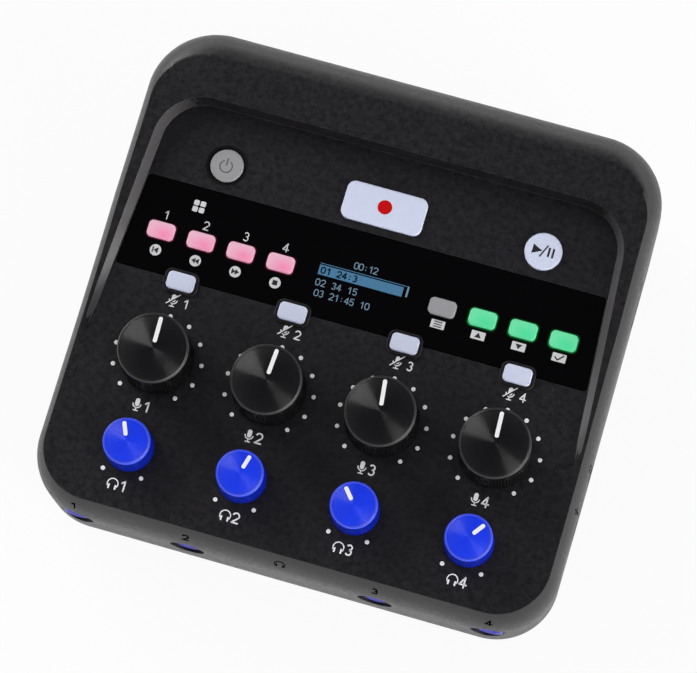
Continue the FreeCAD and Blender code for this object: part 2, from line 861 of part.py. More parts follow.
def cut_flank_openings(body):
    """Jack holes in the front, ports in the right flank and microphone sockets in the rear wall."""
    front = in_panel(at(0, case_front - dim.wall, 0, FACING_FRONT))
    holes = new_sketch(body, "ring_holes", front)
    spots = new_sketch(body, "ring_spots", front)
    for x in jack_places:
        circle(holes, x, dim.jack_height, dim.ring_radius + dim.fit_gap)
        circle(spots, x, dim.jack_height, dim.spot_radius)
    cut_down(body, holes, dim.jack_set_in + 2 * dim.wall)
    cut_down(body, spots, dim.jack_set_in - dim.ring_length + dim.spot_back + dim.wall)
    side = at(dim.rim_half_width + side_bulge + dim.wall, turn=FACING_RIGHT)
    phone_spot = new_sketch(body, "phone_spot", side)
    circle(phone_spot, dim.phone_row, phone_height(), dim.phone_spot_radius)
    cut_down(body, phone_spot, dim.wall + dim.port_spot_depth)
    usb_spot = new_sketch(body, "usb_spot", side)
    rectangle(usb_spot, dim.usb_row, usb_height(), dim.usb_spot_width, dim.usb_spot_height,
              dim.usb_spot_height * ROUND_END)
    cut_down(body, usb_spot, dim.wall + dim.port_spot_depth)
    ports = new_sketch(body, "ports", side)
    circle(ports, dim.phone_row, phone_height(), dim.phone_opening_radius)
    rectangle(ports, dim.usb_row, usb_height(), dim.usb_width + 2 * dim.fit_gap,
              dim.usb_height + 2 * dim.fit_gap, dim.usb_height * ROUND_END)
    cut_down(body, ports, 2 * dim.wall + dim.port_spot_depth)
    rear = new_sketch(body, "xlr_holes", in_panel(at(0, case_back + dim.wall, 0, FACING_BACK)))
    for x in xlr_places:
        circle(rear, x, dim.xlr_height, dim.xlr_body_radius + dim.xlr_gap)
    cut_down(body, rear, 3 * dim.wall)


def add_bosses(body):
    """Posts for the case's screws, plumb to the table, and short ones square to the panel's board."""
    for number, (x, y) in enumerate(case_screw_places):
        foot = new_sketch(body, f"case_boss_{number}", in_panel(at(0, 0, dim.parting_height)))
        circle(foot, x, y, dim.case_boss_radius)
        boss = pad(body, foot, boss_length(y))
        boss.Label = f"case_boss_{number}"
    pilots = new_sketch(body, "case_pilots", in_panel(at(0, 0, dim.parting_height)))
    for x, y in case_screw_places:
        circle(pilots, x, y, dim.case_shank_radius + dim.screw_gap)
    cut_up(body, pilots, dim.case_screw_length)
    bosses = new_sketch(body, "board_bosses", board_top)
    holes = new_sketch(body, "board_pilots", board_top)
    for x, y in board_screw_places:
        circle(bosses, x, y, dim.board_boss_radius)
        circle(holes, x, y, dim.board_shank_radius + dim.screw_gap)
    pad(body, bosses, dim.board_depth - dim.panel_thickness + dim.boss_sink)
    cut_up(body, holes, dim.board_screw_length - dim.board_thickness)


def boss_length(y):
    """From the parting plane up into the panel's thickness, above a place given by the part's y."""
    ceiling = on_panel(0, panel_row(y, -dim.panel_thickness), -dim.panel_thickness)[2]
    return ceiling - dim.parting_height + dim.boss_sink


def make_upper_case():
    body = panel_body("upper_case")
    bottom = -dim.case_depth
    upper = case_sections(body, "roll", roll_heights(), 0.0, lambda height: height)
    loft(body, "AdditiveLoft", upper, ruled=False)
    lower = new_sketch(body, "skirt", bottom)
    draw_case(lower, bottom, as_size(0), dim.side_tuck)
    loft(body, "AdditiveLoft", [upper[-1], lower], ruled=True)
    cut_above_rim(body)
    inner = case_sections(body, "cavity", [-dim.panel_thickness, -front_drop, bottom - dim.wall],
                          dim.wall, lambda height: height, dim.side_tuck)
    loft(body, "SubtractiveLoft", inner, ruled=True)
    hollow = new_sketch(body, "hood_hollow", -dim.panel_thickness)
    outline(hollow, both_sides([
        (dim.hood_hollow_half_width, dim.recess_rim_back + dim.wall, dim.wall),
        (dim.hood_hollow_half_width, dim.rim_back + dim.wall, dim.wall),
    ]))
    cut_up(body, hollow, hood_rise - dim.wall)
    cut_recess(body)
    cut_panel_openings(body)
    add_card_door_frame(body)
    add_bosses(body)
    parting = new_sketch(body, "parting", in_panel(at(0, 0, dim.parting_height)))
    rectangle(parting, 0, 0, 2 * CUT_REACH, 2 * CUT_REACH)
    cut_down(body, parting, CUT_REACH)
    cut_flank_openings(body)
    return body


def case_base(body):
    """The case's outer form between its rounded underside and the parting plane."""
    ends = [as_size(0) - front_drop, -dim.case_depth]
    sections = case_sections(body, "base", ends, 0.0, lambda height: PANEL.multiply(at(z=height)),
                             dim.side_tuck)
    loft(body, "AdditiveLoft", sections, ruled=True)
    top = new_sketch(body, "base_top", dim.parting_height - dim.parting_gap)
    rectangle(top, 0, 0, 2 * CUT_REACH, 2 * CUT_REACH)
    cut_up(body, top, CUT_REACH)
    underside = new_sketch(body, "underside", dim.underside_height)
    rectangle(underside, 0, 0, 2 * CUT_REACH, 2 * CUT_REACH)
    flat = cut_down(body, underside, CUT_REACH)
    level = dim.underside_height.value
    return round_off(body, flat, lambda point: abs(point.z - level) < 1e-4, dim.underside_round)


def make_lower_case():
    body = new_body("lower_case")
    case_base(body)
    hollow_tray(body)
    add_battery_box(body)
    add_posts_and_ribs(body)
    cut_door_channel(body)
    cut_screws_and_feet(body)
    return body


def hollow_tray(body):
    """The room above the floor, plumb walled, inside the narrowest outline that the flanks leave."""
    front_y = -(dim.rim_front + front_bulge)
    rise = dim.underside_height - dim.panel_height - front_y * sine(dim.panel_tilt)
    front_z = rise / cosine(dim.panel_tilt)
    front = on_panel(0, front_y, front_z)[1] + dim.wall
    half = dim.rim_half_width + side_bulge - dim.side_tuck - dim.rim_taper - dim.wall
    room = new_sketch(body, "room", floor_top)
    outline(room, both_sides([
        (half, front, dim.rim_front_corner + side_bulge - dim.wall),
        (half, case_back - dim.wall, dim.rim_back_corner + side_bulge - dim.wall),
    ]))
    cut_up(body, room, dim.parting_height)


def box_left():
    return dim.box_right + battery_room()


def battery_room():
    """Inside length of the battery box: cell and tip, spring, and a contact at each end."""
    return (dim.cell_length + dim.cell_tip_length + dim.spring_length
            + 2 * dim.contact_thickness + dim.cell_clearance)


def cell_height():
    return dim.underside_height + dim.door_thickness + dim.cell_clearance + dim.cell_radius


def box_half_width():
    return dim.cell_pitch / 2 + dim.cell_radius + 2 * dim.cell_clearance


def box_ceiling():
    return cell_height() + dim.cell_radius + dim.cell_clearance


def add_battery_box(body):
    middle = -(dim.box_right + battery_room() / 2)
    outer = new_sketch(body, "box", floor_top - dim.floor_thickness / 2)
    rectangle(outer, middle, 0, battery_room() + 2 * dim.box_wall, 2 * (box_half_width() + dim.box_wall))
    pad(body, outer, box_ceiling() + dim.box_wall - floor_top + dim.floor_thickness / 2)
    inner = new_sketch(body, "box_room", dim.underside_height - dim.door_thickness)
    rectangle(inner, middle, 0, battery_room(), 2 * box_half_width())
    cut_up(body, inner, box_ceiling() - dim.underside_height + dim.door_thickness)


def add_posts_and_ribs(body):
    """Posts under the jacks' board, sleeves for the case's screws and the rear board's two ribs."""
    posts = new_sketch(body, "posts", floor_top - dim.floor_thickness / 2)
    for x, y in jack_screw_places:
        circle(posts, x, y, dim.board_boss_radius)
    pad(body, posts, jack_board_top - dim.board_thickness - floor_top + dim.floor_thickness / 2)
    sleeves = new_sketch(body, "sleeves", floor_top - dim.floor_thickness / 2)
    for x, y in case_screw_places:
        circle(sleeves, x, y, dim.case_boss_foot_radius)
    pad(body, sleeves, dim.parting_height - dim.parting_gap - floor_top + dim.floor_thickness / 2)
    ribs = new_sketch(body, "ribs", floor_top - dim.floor_thickness / 2)
    gap = dim.board_thickness / 2 + dim.fit_gap + dim.xlr_rib_thickness / 2
    for side in (-1, 1):
        rectangle(ribs, 0, xlr_rear - dim.board_thickness / 2 + side * gap,
                  2 * dim.xlr_rib_half_length, dim.xlr_rib_thickness)
    pad(body, ribs, dim.xlr_rib_height + dim.floor_thickness / 2)


def cut_door_channel(body):
    """The way that the battery door slides out along, with ledges that carry its lips."""
    reach = -(dim.door_right - dim.fit_gap)
    wide = new_sketch(body, "channel", dim.underside_height - dim.door_thickness)
    rectangle(wide, (reach - CUT_REACH) / 2, 0, CUT_REACH + reach, 2 * (dim.door_half_width + dim.fit_gap))
    cut_up(body, wide, 2 * dim.door_thickness + dim.fit_gap)
    lips = new_sketch(body, "lip_channel",
                      dim.underside_height + dim.door_thickness - dim.door_lip_thickness - dim.fit_gap)
    rectangle(lips, (reach - CUT_REACH) / 2, 0, CUT_REACH + reach,
              2 * (dim.door_half_width + dim.door_lip + dim.fit_gap))
    cut_up(body, lips, dim.door_lip_thickness + 2 * dim.fit_gap)


def foot_places():
    return [(side * dim.foot_side, along) for along in (-dim.foot_front, dim.foot_rear) for side in (-1, 1)]


def cut_screws_and_feet(body):
    heads = new_sketch(body, "head_seats", dim.underside_height)
    shanks = new_sketch(body, "shank_holes", dim.underside_height)
    for x, y in case_screw_places:
        circle(heads, x, y, dim.case_head_radius + dim.fit_gap)
        circle(shanks, x, y, dim.case_shank_radius + dim.screw_gap)
    cut_up(body, heads, dim.case_head_height + dim.case_head_sink)
    cut_up(body, shanks, dim.parting_height)
    pilots = new_sketch(body, "jack_pilots", jack_board_top - dim.board_thickness)
    for x, y in jack_screw_places:
        circle(pilots, x, y, dim.board_shank_radius + dim.screw_gap)
    cut_down(body, pilots, dim.board_screw_length - dim.board_thickness)
    feet = new_sketch(body, "foot_seats", dim.underside_height)
    for x, y in foot_places():
        circle(feet, x, y, dim.foot_radius + dim.fit_gap / 2)
    cut_up(body, feet, dim.foot_sink)


# The strip, the display and the buttons


def make_display_window():
    body = panel_body("display_window")
    plate = new_sketch(body, "plate", -dim.window_thickness)
    draw_window(plate, as_size(0))
    pad(body, plate, dim.window_thickness)
    notches = new_sketch(body, "notches", as_size(0))
    draw_collars(notches, dim.fit_gap)
    cut_down(body, notches, dim.window_thickness)
    for name, places in (("pads", pad_places), ("functions", function_places)):
        openings = new_sketch(body, f"{name}_openings", as_size(0))
        for x, y in places:
            draw_key(openings, x, y, dim.key_clearance)
        cut_down(body, openings, dim.window_thickness)
    return body


def make_oled_module():
    """The display's glass on a frame that stands on the board."""
    body = panel_body("oled_module")
    top = -dim.panel_thickness - dim.key_lip_gap
    outer = new_sketch(body, "glass", board_top)
    rectangle(outer, 0, dim.display_row, dim.module_width, dim.module_depth)
    pad(body, outer, top - board_top)
    inner = new_sketch(body, "frame_room", board_top)
    rectangle(inner, 0, dim.display_row, dim.module_width - 2 * dim.module_frame,
              dim.module_depth - 2 * dim.module_frame)
    cut_up(body, inner, top - board_top - dim.module_glass)
    return body


def make_button(name, place, draw, proud):
    """A cap with rounded edges, a lip that keeps it under the panel and a stem over its switch."""
    body = panel_body(name, *place)
    lip_top = -dim.panel_thickness - dim.key_lip_gap
    lip_bottom = lip_top - dim.key_lip_thickness
    cap = new_sketch(body, "cap", lip_bottom)
    draw(cap, 0, 0, as_size(0))
    cap_pad = pad(body, cap, proud - lip_bottom)
    top = float(proud)
    round_off(body, cap_pad, lambda point: abs(point.z - top) < 1e-4, dim.key_round)
    lip = new_sketch(body, "lip", lip_bottom)
    draw(lip, 0, 0, dim.key_lip)
    pad(body, lip, dim.key_lip_thickness)
    stem = new_sketch(body, "stem", key_foot)
    circle(stem, 0, 0, dim.key_stem_radius)
    pad(body, stem, lip_top - key_foot)
    return body


# The rotary controls


def make_shaft(name, place, clockwise, radius, top):
    """A round shaft, flatted where the knob sits."""
    body = panel_body(name, *place, clockwise)
    foot = new_sketch(body, "round", board_top + dim.pot_floor + dim.shaft_end_gap)
    circle(foot, 0, 0, radius)
    pad(body, foot, top - board_top - dim.pot_floor - dim.shaft_end_gap)
    start = dim.knob_lift - dim.fit_gap
    flat = new_sketch(body, "flat", start)
    edge = radius * (1 - dim.shaft_flat / 2)
    rectangle(flat, edge + radius / 2, 0, radius, 2 * radius)
    cut_up(body, flat, top - start)
    return body


def make_knob(name, place, clockwise, kind, profile, grooved):
    """A turned knob with its hollow, its hub's flatted bore, side grooves and a sunk pointer."""
    body = panel_body(name, *place, clockwise)
    turned = new_sketch(body, "profile", at(turn=FACING_FRONT))
    outline(turned, [(0, dim.knob_lift, None)] + profile + [(0, kind.height, None)])
    revolve(body, turned)
    hollow = new_sketch(body, "hollow", dim.knob_lift)
    circle(hollow, 0, 0, kind.hollow_radius)
    circle(hollow, 0, 0, kind.hub_radius)
    cut_up(body, hollow, kind.height - dim.knob_lift - dim.knob_roof)
    bore = new_sketch(body, "bore", dim.knob_lift)
    flatted_circle(bore, kind.shaft_radius + dim.bore_gap,
                   kind.shaft_radius * (1 - dim.shaft_flat / 2) + dim.bore_gap)
    cut_up(body, bore, kind.shaft_top + dim.bore_gap - dim.knob_lift)
    pointer = new_sketch(body, "pointer", kind.height)
    reach = kind.top_radius - dim.pointer_margin
    rectangle(pointer, 0, (reach + dim.pointer_start) / 2, dim.pointer_width, reach - dim.pointer_start)
    cut_down(body, pointer, dim.pointer_depth)
    groove = new_sketch(body, "groove", dim.knob_lift)
    outline(groove, [
        (-dim.groove_width / 2, -(kind.base_radius + dim.groove_depth), None),
        (dim.groove_width / 2, -(kind.base_radius + dim.groove_depth), None),
        (0, -(kind.base_radius - dim.groove_depth), None),
    ])
    cut = cut_up(body, groove, grooved - dim.knob_lift)
    repeat_round(body, cut, kind.grooves)
    return body


def make_gain_knob(name, place, clockwise):
    kind = SimpleNamespace(
        height=dim.gain_height, top_radius=dim.gain_top_radius, base_radius=dim.gain_base_radius,
        hollow_radius=dim.gain_hollow_radius, hub_radius=dim.gain_hub_radius,
        shaft_radius=dim.gain_shaft_radius, shaft_top=dim.gain_shaft_top, grooves=dim.gain_grooves)
    profile = [
        (dim.gain_base_radius, dim.knob_lift, None),
        (dim.gain_edge_radius, dim.gain_shoulder, None),
        (dim.gain_top_radius, dim.gain_height, None),
    ]
    return make_knob(name, place, clockwise, kind, profile, dim.gain_shoulder - dim.pointer_depth)


def make_volume_knob(name, place, clockwise):
    kind = SimpleNamespace(
        height=dim.volume_height, top_radius=dim.volume_top_radius, base_radius=dim.volume_base_radius,
        hollow_radius=dim.volume_hollow_radius, hub_radius=dim.volume_hub_radius,
        shaft_radius=dim.volume_shaft_radius, shaft_top=dim.volume_shaft_top, grooves=dim.volume_grooves)
    profile = [
        (dim.volume_base_radius, dim.knob_lift, None),
        (dim.volume_edge_radius, dim.volume_shoulder, None),
        (dim.volume_top_radius, dim.volume_height, None),
    ]
    return make_knob(name, place, clockwise, kind, profile, dim.volume_height / 2)


def make_potentiometers():
    """Eight rotary controls on the board, each with a bushing round its shaft."""
    body = panel_body("potentiometers")
    kinds = [
        ("gain", gain_places, dim.gain_pot_width, dim.gain_bushing_radius, dim.gain_shaft_radius),
        ("volume", volume_places, dim.volume_pot_width, dim.volume_bushing_radius,
         dim.volume_shaft_radius),
    ]
    for name, places, width, bushing_radius, shaft_radius in kinds:
        bodies = new_sketch(body, f"{name}_bodies", board_top)
        bushings = new_sketch(body, f"{name}_bushings", board_top)
        bores = new_sketch(body, f"{name}_bores", board_top + dim.pot_floor)
        for x, y in places:
            rectangle(bodies, x, y, width, width)
            circle(bushings, x, y, bushing_radius)
            circle(bores, x, y, shaft_radius + dim.shaft_gap)
        pad(body, bodies, dim.pot_height)
        pad(body, bushings, dim.board_depth - dim.pot_bushing_top)
        cut_up(body, bores, dim.board_depth)
    return body


def make_tact_switches():
    body = panel_body("tact_switches")
    squares = new_sketch(body, "bodies", board_top)
    plungers = new_sketch(body, "plungers", board_top)
    for x, y in switch_places:
        rectangle(squares, x, y, dim.switch_width, dim.switch_width)
        circle(plungers, x, y, dim.switch_plunger_radius)
    pad(body, squares, dim.switch_body)
    pad(body, plungers, dim.switch_height)
    return body


# Circuit boards


def make_panel_board():
    """The board under the panel, notched round the case's screw posts."""
    body = panel_body("panel_board")
    plate = new_sketch(body, "plate", board_underside)
    rectangle(plate, 0, (dim.board_back - dim.board_front) / 2, 2 * dim.board_half_width,
              dim.board_back + dim.board_front, dim.board_corner)
    pad(body, plate, dim.board_thickness)
    middle = board_top - dim.board_thickness / 2
    notches = new_sketch(body, "notches", board_top)
    front_row = panel_row(-dim.corner_screw_front, middle)
    back_row = panel_row(dim.middle_screw_rear, middle)
    side_edge = dim.corner_screw_side - dim.notch_half_width
    back_edge = back_row - dim.notch_half_width
    for side in (-1, 1):
        rectangle(notches, side * (side_edge + dim.board_half_width) / 2, front_row,
                  dim.board_half_width - side_edge + dim.board_corner, 2 * dim.notch_half_width)
        rectangle(notches, side * dim.middle_screw_side, (back_edge + dim.board_back) / 2,
                  2 * dim.notch_half_width, dim.board_back - back_edge + dim.board_corner)
    cut_down(body, notches, dim.board_thickness)
    holes = new_sketch(body, "screw_holes", board_top)
    for x, y in board_screw_places:
        circle(holes, x, y, dim.board_shank_radius + dim.fit_gap)
    cut_down(body, holes, dim.board_thickness)
    return body


def make_jack_board():
    body = new_body("jack_board")
    plate = new_sketch(body, "plate", jack_board_top - dim.board_thickness)
    front = jack_face + dim.jack_front_bevel
    outline(plate, both_sides([
        (dim.jack_board_half_width, front, dim.board_corner),
        (dim.jack_board_half_width, front + dim.jack_board_depth, dim.board_corner / 2),
    ]))
    pad(body, plate, dim.board_thickness)
    holes = new_sketch(body, "screw_holes", jack_board_top)
    for x, y in jack_screw_places:
        circle(holes, x, y, dim.board_shank_radius + dim.fit_gap)
    cut_down(body, holes, dim.board_thickness)
    return body


def make_xlr_board():
    body = new_body("xlr_board")
    plate = new_sketch(body, "plate", at(0, xlr_rear, 0, FACING_BACK))
    foot = floor_top + dim.xlr_board_foot
    rectangle(plate, 0, (foot + dim.xlr_board_top) / 2, 2 * dim.xlr_board_half_width,
              dim.xlr_board_top - foot)
    pad(body, plate, dim.board_thickness, backwards=True)
    holes = new_sketch(body, "tail_holes", at(0, xlr_rear, 0, FACING_BACK))
    for x in xlr_places:
        for across, up in pole_places():
            circle(holes, x + across, dim.xlr_height + up, dim.xlr_tail_radius + dim.fit_gap)
    cut_down(body, holes, dim.board_thickness)
    return body


# Sockets and ports


def make_headphone_jack(name, x):
    """A 3.5 mm socket on the jacks' board, its mouth behind the case's front wall."""
    body = new_body(name, (x, jack_face, dim.jack_height))
    block = new_sketch(body, "block", -dim.jack_body_height / 2)
    bevel = dim.jack_front_bevel
    half = dim.jack_width / 2
    outline(block, both_sides([
        (half - bevel, as_size(0), None),
        (half, bevel, None),
        (half, dim.jack_length, None),
    ]))
    pad(body, block, dim.jack_body_height)
    bore = new_sketch(body, "bore", at(turn=FACING_FRONT))
    circle(bore, 0, 0, dim.jack_bore_radius)
    cut_down(body, bore, dim.jack_bore_length)
    return body


def make_jack_rings():
    body = new_body("jack_rings", (0.0, jack_face, dim.jack_height))
    rings = new_sketch(body, "rings", at(turn=FACING_FRONT))
    for x in jack_places:
        circle(rings, x, 0, dim.ring_radius)
        circle(rings, x, 0, dim.jack_bore_radius)
    pad(body, rings, dim.ring_length)
    return body


def pole_places():
    """Three poles at the corners of a triangle that points down."""
    return [(-dim.xlr_pole_side, dim.xlr_pole_up), (dim.xlr_pole_side, dim.xlr_pole_up),
            (as_size(0), -dim.xlr_pole_down)]


def make_xlr_socket(name, x):
    """The shell of a microphone socket: a seat for the insert, a slot round it for the plug, a keyway."""
    body = new_body(name, (x, xlr_face, dim.xlr_height))
    face = at(turn=FACING_BACK)
    shell = new_sketch(body, "shell", face)
    circle(shell, 0, 0, dim.xlr_body_radius)
    circle(shell, 0, 0, dim.xlr_insert_radius + dim.insert_gap)
    pad(body, shell, dim.xlr_length, backwards=True)
    slot = new_sketch(body, "plug_slot", face)
    circle(slot, 0, 0, dim.xlr_slot_radius)
    cut_down(body, slot, dim.xlr_slot_depth)
    key = new_sketch(body, "keyway", face)
    middle = (dim.xlr_key_reach + dim.xlr_insert_radius) / 2
    rectangle(key, 0, middle, dim.xlr_key_width, dim.xlr_key_reach - dim.xlr_insert_radius)
    cut_down(body, key, dim.xlr_slot_depth)
    return body


def make_xlr_inserts():
    """The inserts of the microphone sockets, moulded round three contacts whose tails pass the rear board."""
    body = new_body("xlr_inserts", (0.0, xlr_face, dim.xlr_height))
    face = at(turn=FACING_BACK)
    inserts = new_sketch(body, "inserts", face)
    poles = new_sketch(body, "poles", face)
    tails = new_sketch(body, "tails", at(0, -dim.xlr_length, 0, FACING_BACK))
    for x in xlr_places:
        circle(inserts, x, 0, dim.xlr_insert_radius)
        for across, up in pole_places():
            circle(poles, x + across, up, dim.xlr_pole_radius)
            circle(tails, x + across, up, dim.xlr_tail_radius)
    pad(body, inserts, dim.xlr_length, backwards=True)
    cut_down(body, poles, dim.xlr_pole_depth)
    pad(body, tails, dim.board_thickness + dim.xlr_tail_out, backwards=True)
    return body


def make_phone_jack():
    body = panel_body("phone_jack")
    mouth = at(dim.port_case_reach, turn=FACING_RIGHT)
    block = new_sketch(body, "block", mouth)
    rectangle(block, dim.phone_row, phone_height(), dim.phone_width, dim.phone_height)
    pad(body, block, dim.jack_length, backwards=True)
    bore = new_sketch(body, "bore", mouth)
    circle(bore, dim.phone_row, phone_height(), dim.jack_bore_radius)
    cut_down(body, bore, dim.jack_bore_length)
    return body


def make_usb_port():
    """A flat socket: a thin shell with a tongue along its middle."""
    body = panel_body("usb_port")
    mouth = at(dim.usb_mouth, turn=FACING_RIGHT)
    shell = new_sketch(body, "shell", mouth)
    rectangle(shell, dim.usb_row, usb_height(), dim.usb_width, dim.usb_height, dim.usb_height * ROUND_END)
    pad(body, shell, dim.usb_length, backwards=True)
    room = new_sketch(body, "room", mouth)
    inner_height = dim.usb_height - 2 * dim.usb_shell
    rectangle(room, dim.usb_row, usb_height(), dim.usb_width - 2 * dim.usb_shell, inner_height,
              inner_height * ROUND_END)
    cut_down(body, room, dim.usb_length - dim.usb_shell)
    tongue = new_sketch(body, "tongue", at(dim.usb_mouth - dim.usb_length, turn=FACING_RIGHT))
    rectangle(tongue, dim.usb_row, usb_height(), dim.usb_tongue_width, dim.usb_tongue_thickness)
    pad(body, tongue, dim.usb_tongue_length)
    return body


# The card slot and its door


def make_card_slot():
    body = panel_body("card_slot")
    mouth = at(dim.door_frame_reach - dim.fit_gap, turn=FACING_RIGHT)
    cage = new_sketch(body, "cage", mouth)
    rectangle(cage, dim.card_row, card_middle(), dim.card_cage_width, dim.card_cage_height)
    pad(body, cage, dim.card_cage_length, backwards=True)
    slit = new_sketch(body, "slit", mouth)
    rectangle(slit, dim.card_row, card_middle(), dim.card_slit_width, dim.card_slit_height)
    cut_down(body, slit, dim.card_slit_depth)
    return body


def make_card_cover():
    """A door flush with the flank. Its lower edge is round about its pins, so it turns in its seat."""
    place = on_panel(cover_pin_reach_out(), dim.card_row, cover_pin_height())
    body = new_body("card_cover", place, PANEL.Rotation)
    half = dim.cover_thickness / 2
    knuckle = new_sketch(body, "knuckle", at(turn=FACING_FRONT))
    circle(knuckle, 0, 0, half)
    pad(body, knuckle, dim.cover_length, both=True)
    plate = new_sketch(body, "plate", at(turn=FACING_FRONT))
    rectangle(plate, 0, (dim.cover_height - half) / 2, dim.cover_thickness, dim.cover_height - half)
    leaf = pad(body, plate, dim.cover_length, both=True)
    top = float(dim.cover_height - half)
    end = float(dim.cover_length / 2)
    round_off(body, leaf, lambda point: abs(point.z - top) < 1e-4 and abs(abs(point.y) - end) < 1e-4,
              dim.cover_corner)
    pins = new_sketch(body, "pins", at(turn=FACING_FRONT))
    circle(pins, 0, 0, dim.cover_pin_radius)
    pad(body, pins, dim.cover_length + 2 * dim.cover_pin_reach, both=True)
    return body


# The batteries and their door


def cell_rows():
    return [(dim.cell_pitch / 2, 1), (-dim.cell_pitch / 2, -1)]


def make_battery_cells():
    """Two cells side by side. The rear one's tip points right, the front one's left."""
    body = new_body("battery_cells", (-box_left(), 0.0, cell_height()))
    for row, way in cell_rows():
        start = dim.contact_thickness + (dim.spring_length if way > 0 else dim.cell_tip_length)
        can = new_sketch(body, f"can_{way + 1}", at(start, turn=FACING_RIGHT))
        circle(can, row, 0, dim.cell_radius)
        pad(body, can, dim.cell_length)
        tip_start = start + dim.cell_length if way > 0 else start - dim.cell_tip_length
        tip = new_sketch(body, f"tip_{way + 1}", at(tip_start, turn=FACING_RIGHT))
        circle(tip, row, 0, dim.cell_tip_radius)
        pad(body, tip, dim.cell_tip_length)
    return body


def make_battery_contacts():
    """A plate at each end of each cell, with a tapering spring on the flat end's."""
    body = new_body("battery_contacts", (-box_left(), 0.0, cell_height()))
    far = battery_room() - dim.contact_thickness
    for row, way in cell_rows():
        for number, start in enumerate((as_size(0), far)):
            plate = new_sketch(body, f"plate_{way + 1}_{number}", at(start, turn=FACING_RIGHT))
            rectangle(plate, row, 0, dim.contact_width, dim.contact_width)
            pad(body, plate, dim.contact_thickness)
        base = dim.contact_thickness if way > 0 else far
        spring = new_sketch(body, f"spring_{way + 1}", at(base, turn=FACING_RIGHT))
        circle(spring, row, 0, dim.spring_radius)
        cone = pad(body, spring, dim.spring_length, backwards=way < 0)
        cone.TaperAngle = -float(dim.spring_taper)
        cone.setExpression("TaperAngle", (-dim.spring_taper).text)
    return body


def make_battery_door():
    """A slice of the underside that ends in the left flank's own form, with a lip along each side."""
    body = new_body("battery_door")
    case_base(body)
    frame = new_sketch(body, "door_outline", dim.parting_height)
    reach = -dim.door_right
    rectangle(frame, 0, 0, 3 * CUT_REACH, 3 * CUT_REACH)
    rectangle(frame, (reach - CUT_REACH) / 2, 0, CUT_REACH + reach, 2 * dim.door_half_width)
    cut_down(body, frame, dim.parting_height)
    above = new_sketch(body, "door_top", dim.underside_height + dim.door_thickness)
    rectangle(above, 0, 0, 2 * CUT_REACH, 2 * CUT_REACH)
    cut_up(body, above, CUT_REACH)
    lips = new_sketch(body, "lips", dim.underside_height + dim.door_thickness - dim.door_lip_thickness)
    rectangle(lips, -(dim.door_lip_left + dim.door_right) / 2, 0, dim.door_lip_left - dim.door_right,
              2 * (dim.door_half_width + dim.door_lip))
    pad(body, lips, dim.door_lip_thickness)
    return body


# Feet and screws


def make_rubber_feet():
    body = new_body("rubber_feet")
    feet = new_sketch(body, "feet", as_size(0))
    for x, y in foot_places():
        circle(feet, x, y, dim.foot_radius)
    pad(body, feet, dim.underside_height + dim.foot_sink)
    return body


def make_case_screws():
    body = new_body("case_screws", (0.0, 0.0, dim.underside_height + dim.case_head_sink))
    heads = new_sketch(body, "heads", as_size(0))
    shanks = new_sketch(body, "shanks", as_size(0))
    for x, y in case_screw_places:
        circle(heads, x, y, dim.case_head_radius)
        circle(shanks, x, y, dim.case_shank_radius)
    pad(body, heads, dim.case_head_height)
    pad(body, shanks, dim.case_head_height + dim.case_screw_length)
    return body


def make_board_screws():
    """Six screws up into the panel's posts and three down through the jacks' board."""
    body = new_body("board_screws")
    panel_heads = new_sketch(body, "panel_heads", PANEL.multiply(at(z=board_underside)))
    panel_shanks = new_sketch(body, "panel_shanks", PANEL.multiply(at(z=board_underside)))
    for x, y in board_screw_places:
        circle(panel_heads, x, y, dim.board_head_radius)
        circle(panel_shanks, x, y, dim.board_shank_radius)
    pad(body, panel_heads, dim.board_head_height, backwards=True)
    pad(body, panel_shanks, dim.board_screw_length - dim.screw_gap)
    jack_heads = new_sketch(body, "jack_heads", jack_board_top)
    jack_shanks = new_sketch(body, "jack_shanks", jack_board_top + dim.board_head_height)
    for x, y in jack_screw_places:
        circle(jack_heads, x, y, dim.board_head_radius)
        circle(jack_shanks, x, y, dim.board_shank_radius)
    pad(body, jack_heads, dim.board_head_height)
    pad(body, jack_shanks, dim.board_head_height + dim.board_screw_length - dim.screw_gap, backwards=True)
    return body


# The whole recorder, piece by piece

make_upper_case()
make_lower_case()
make_display_window()
make_oled_module()
make_panel_board()
make_tact_switches()
make_potentiometers()
make_jack_board()
make_jack_rings()
make_xlr_inserts()
make_xlr_board()
make_usb_port()
make_phone_jack()
make_card_slot()
make_card_cover()
make_battery_cells()
make_battery_contacts()
make_battery_door()
make_rubber_feet()
make_case_screws()
make_board_screws()
make_button("power_button", power_place, draw_power, dim.power_proud)
make_button("record_button", record_place, draw_record, dim.key_proud)
make_button("play_button", play_place, draw_play, dim.key_proud)
for number, place in enumerate(mute_places, start=1):
    make_button(f"mute_button_{number}", place, draw_mute, dim.mute_proud)
for letter, place in zip("abcd", pad_places):
    make_button(f"sound_pad_{letter}", place, draw_key, dim.key_proud)
for name, place in zip(("menu", "tone", "comp", "noise"), function_places):
    make_button(f"{name}_button", place, draw_key, dim.key_proud)
for number, x in enumerate(jack_places, start=1):
    make_headphone_jack(f"headphone_jack_{number}", x)
for number, x in enumerate(xlr_places, start=1):
    make_xlr_socket(f"xlr_socket_{number}", x)
for number, (place, clockwise) in enumerate(zip(gain_places, gain_turns), start=1):
    make_shaft(f"gain_shaft_{number}", place, clockwise, dim.gain_shaft_radius, dim.gain_shaft_top)
    make_gain_knob(f"gain_knob_{number}", place, clockwise)
for number, (place, clockwise) in enumerate(zip(volume_places, volume_turns), start=1):
    make_shaft(f"volume_shaft_{number}", place, clockwise, dim.volume_shaft_radius, dim.volume_shaft_top)
    make_volume_knob(f"volume_knob_{number}", place, clockwise)

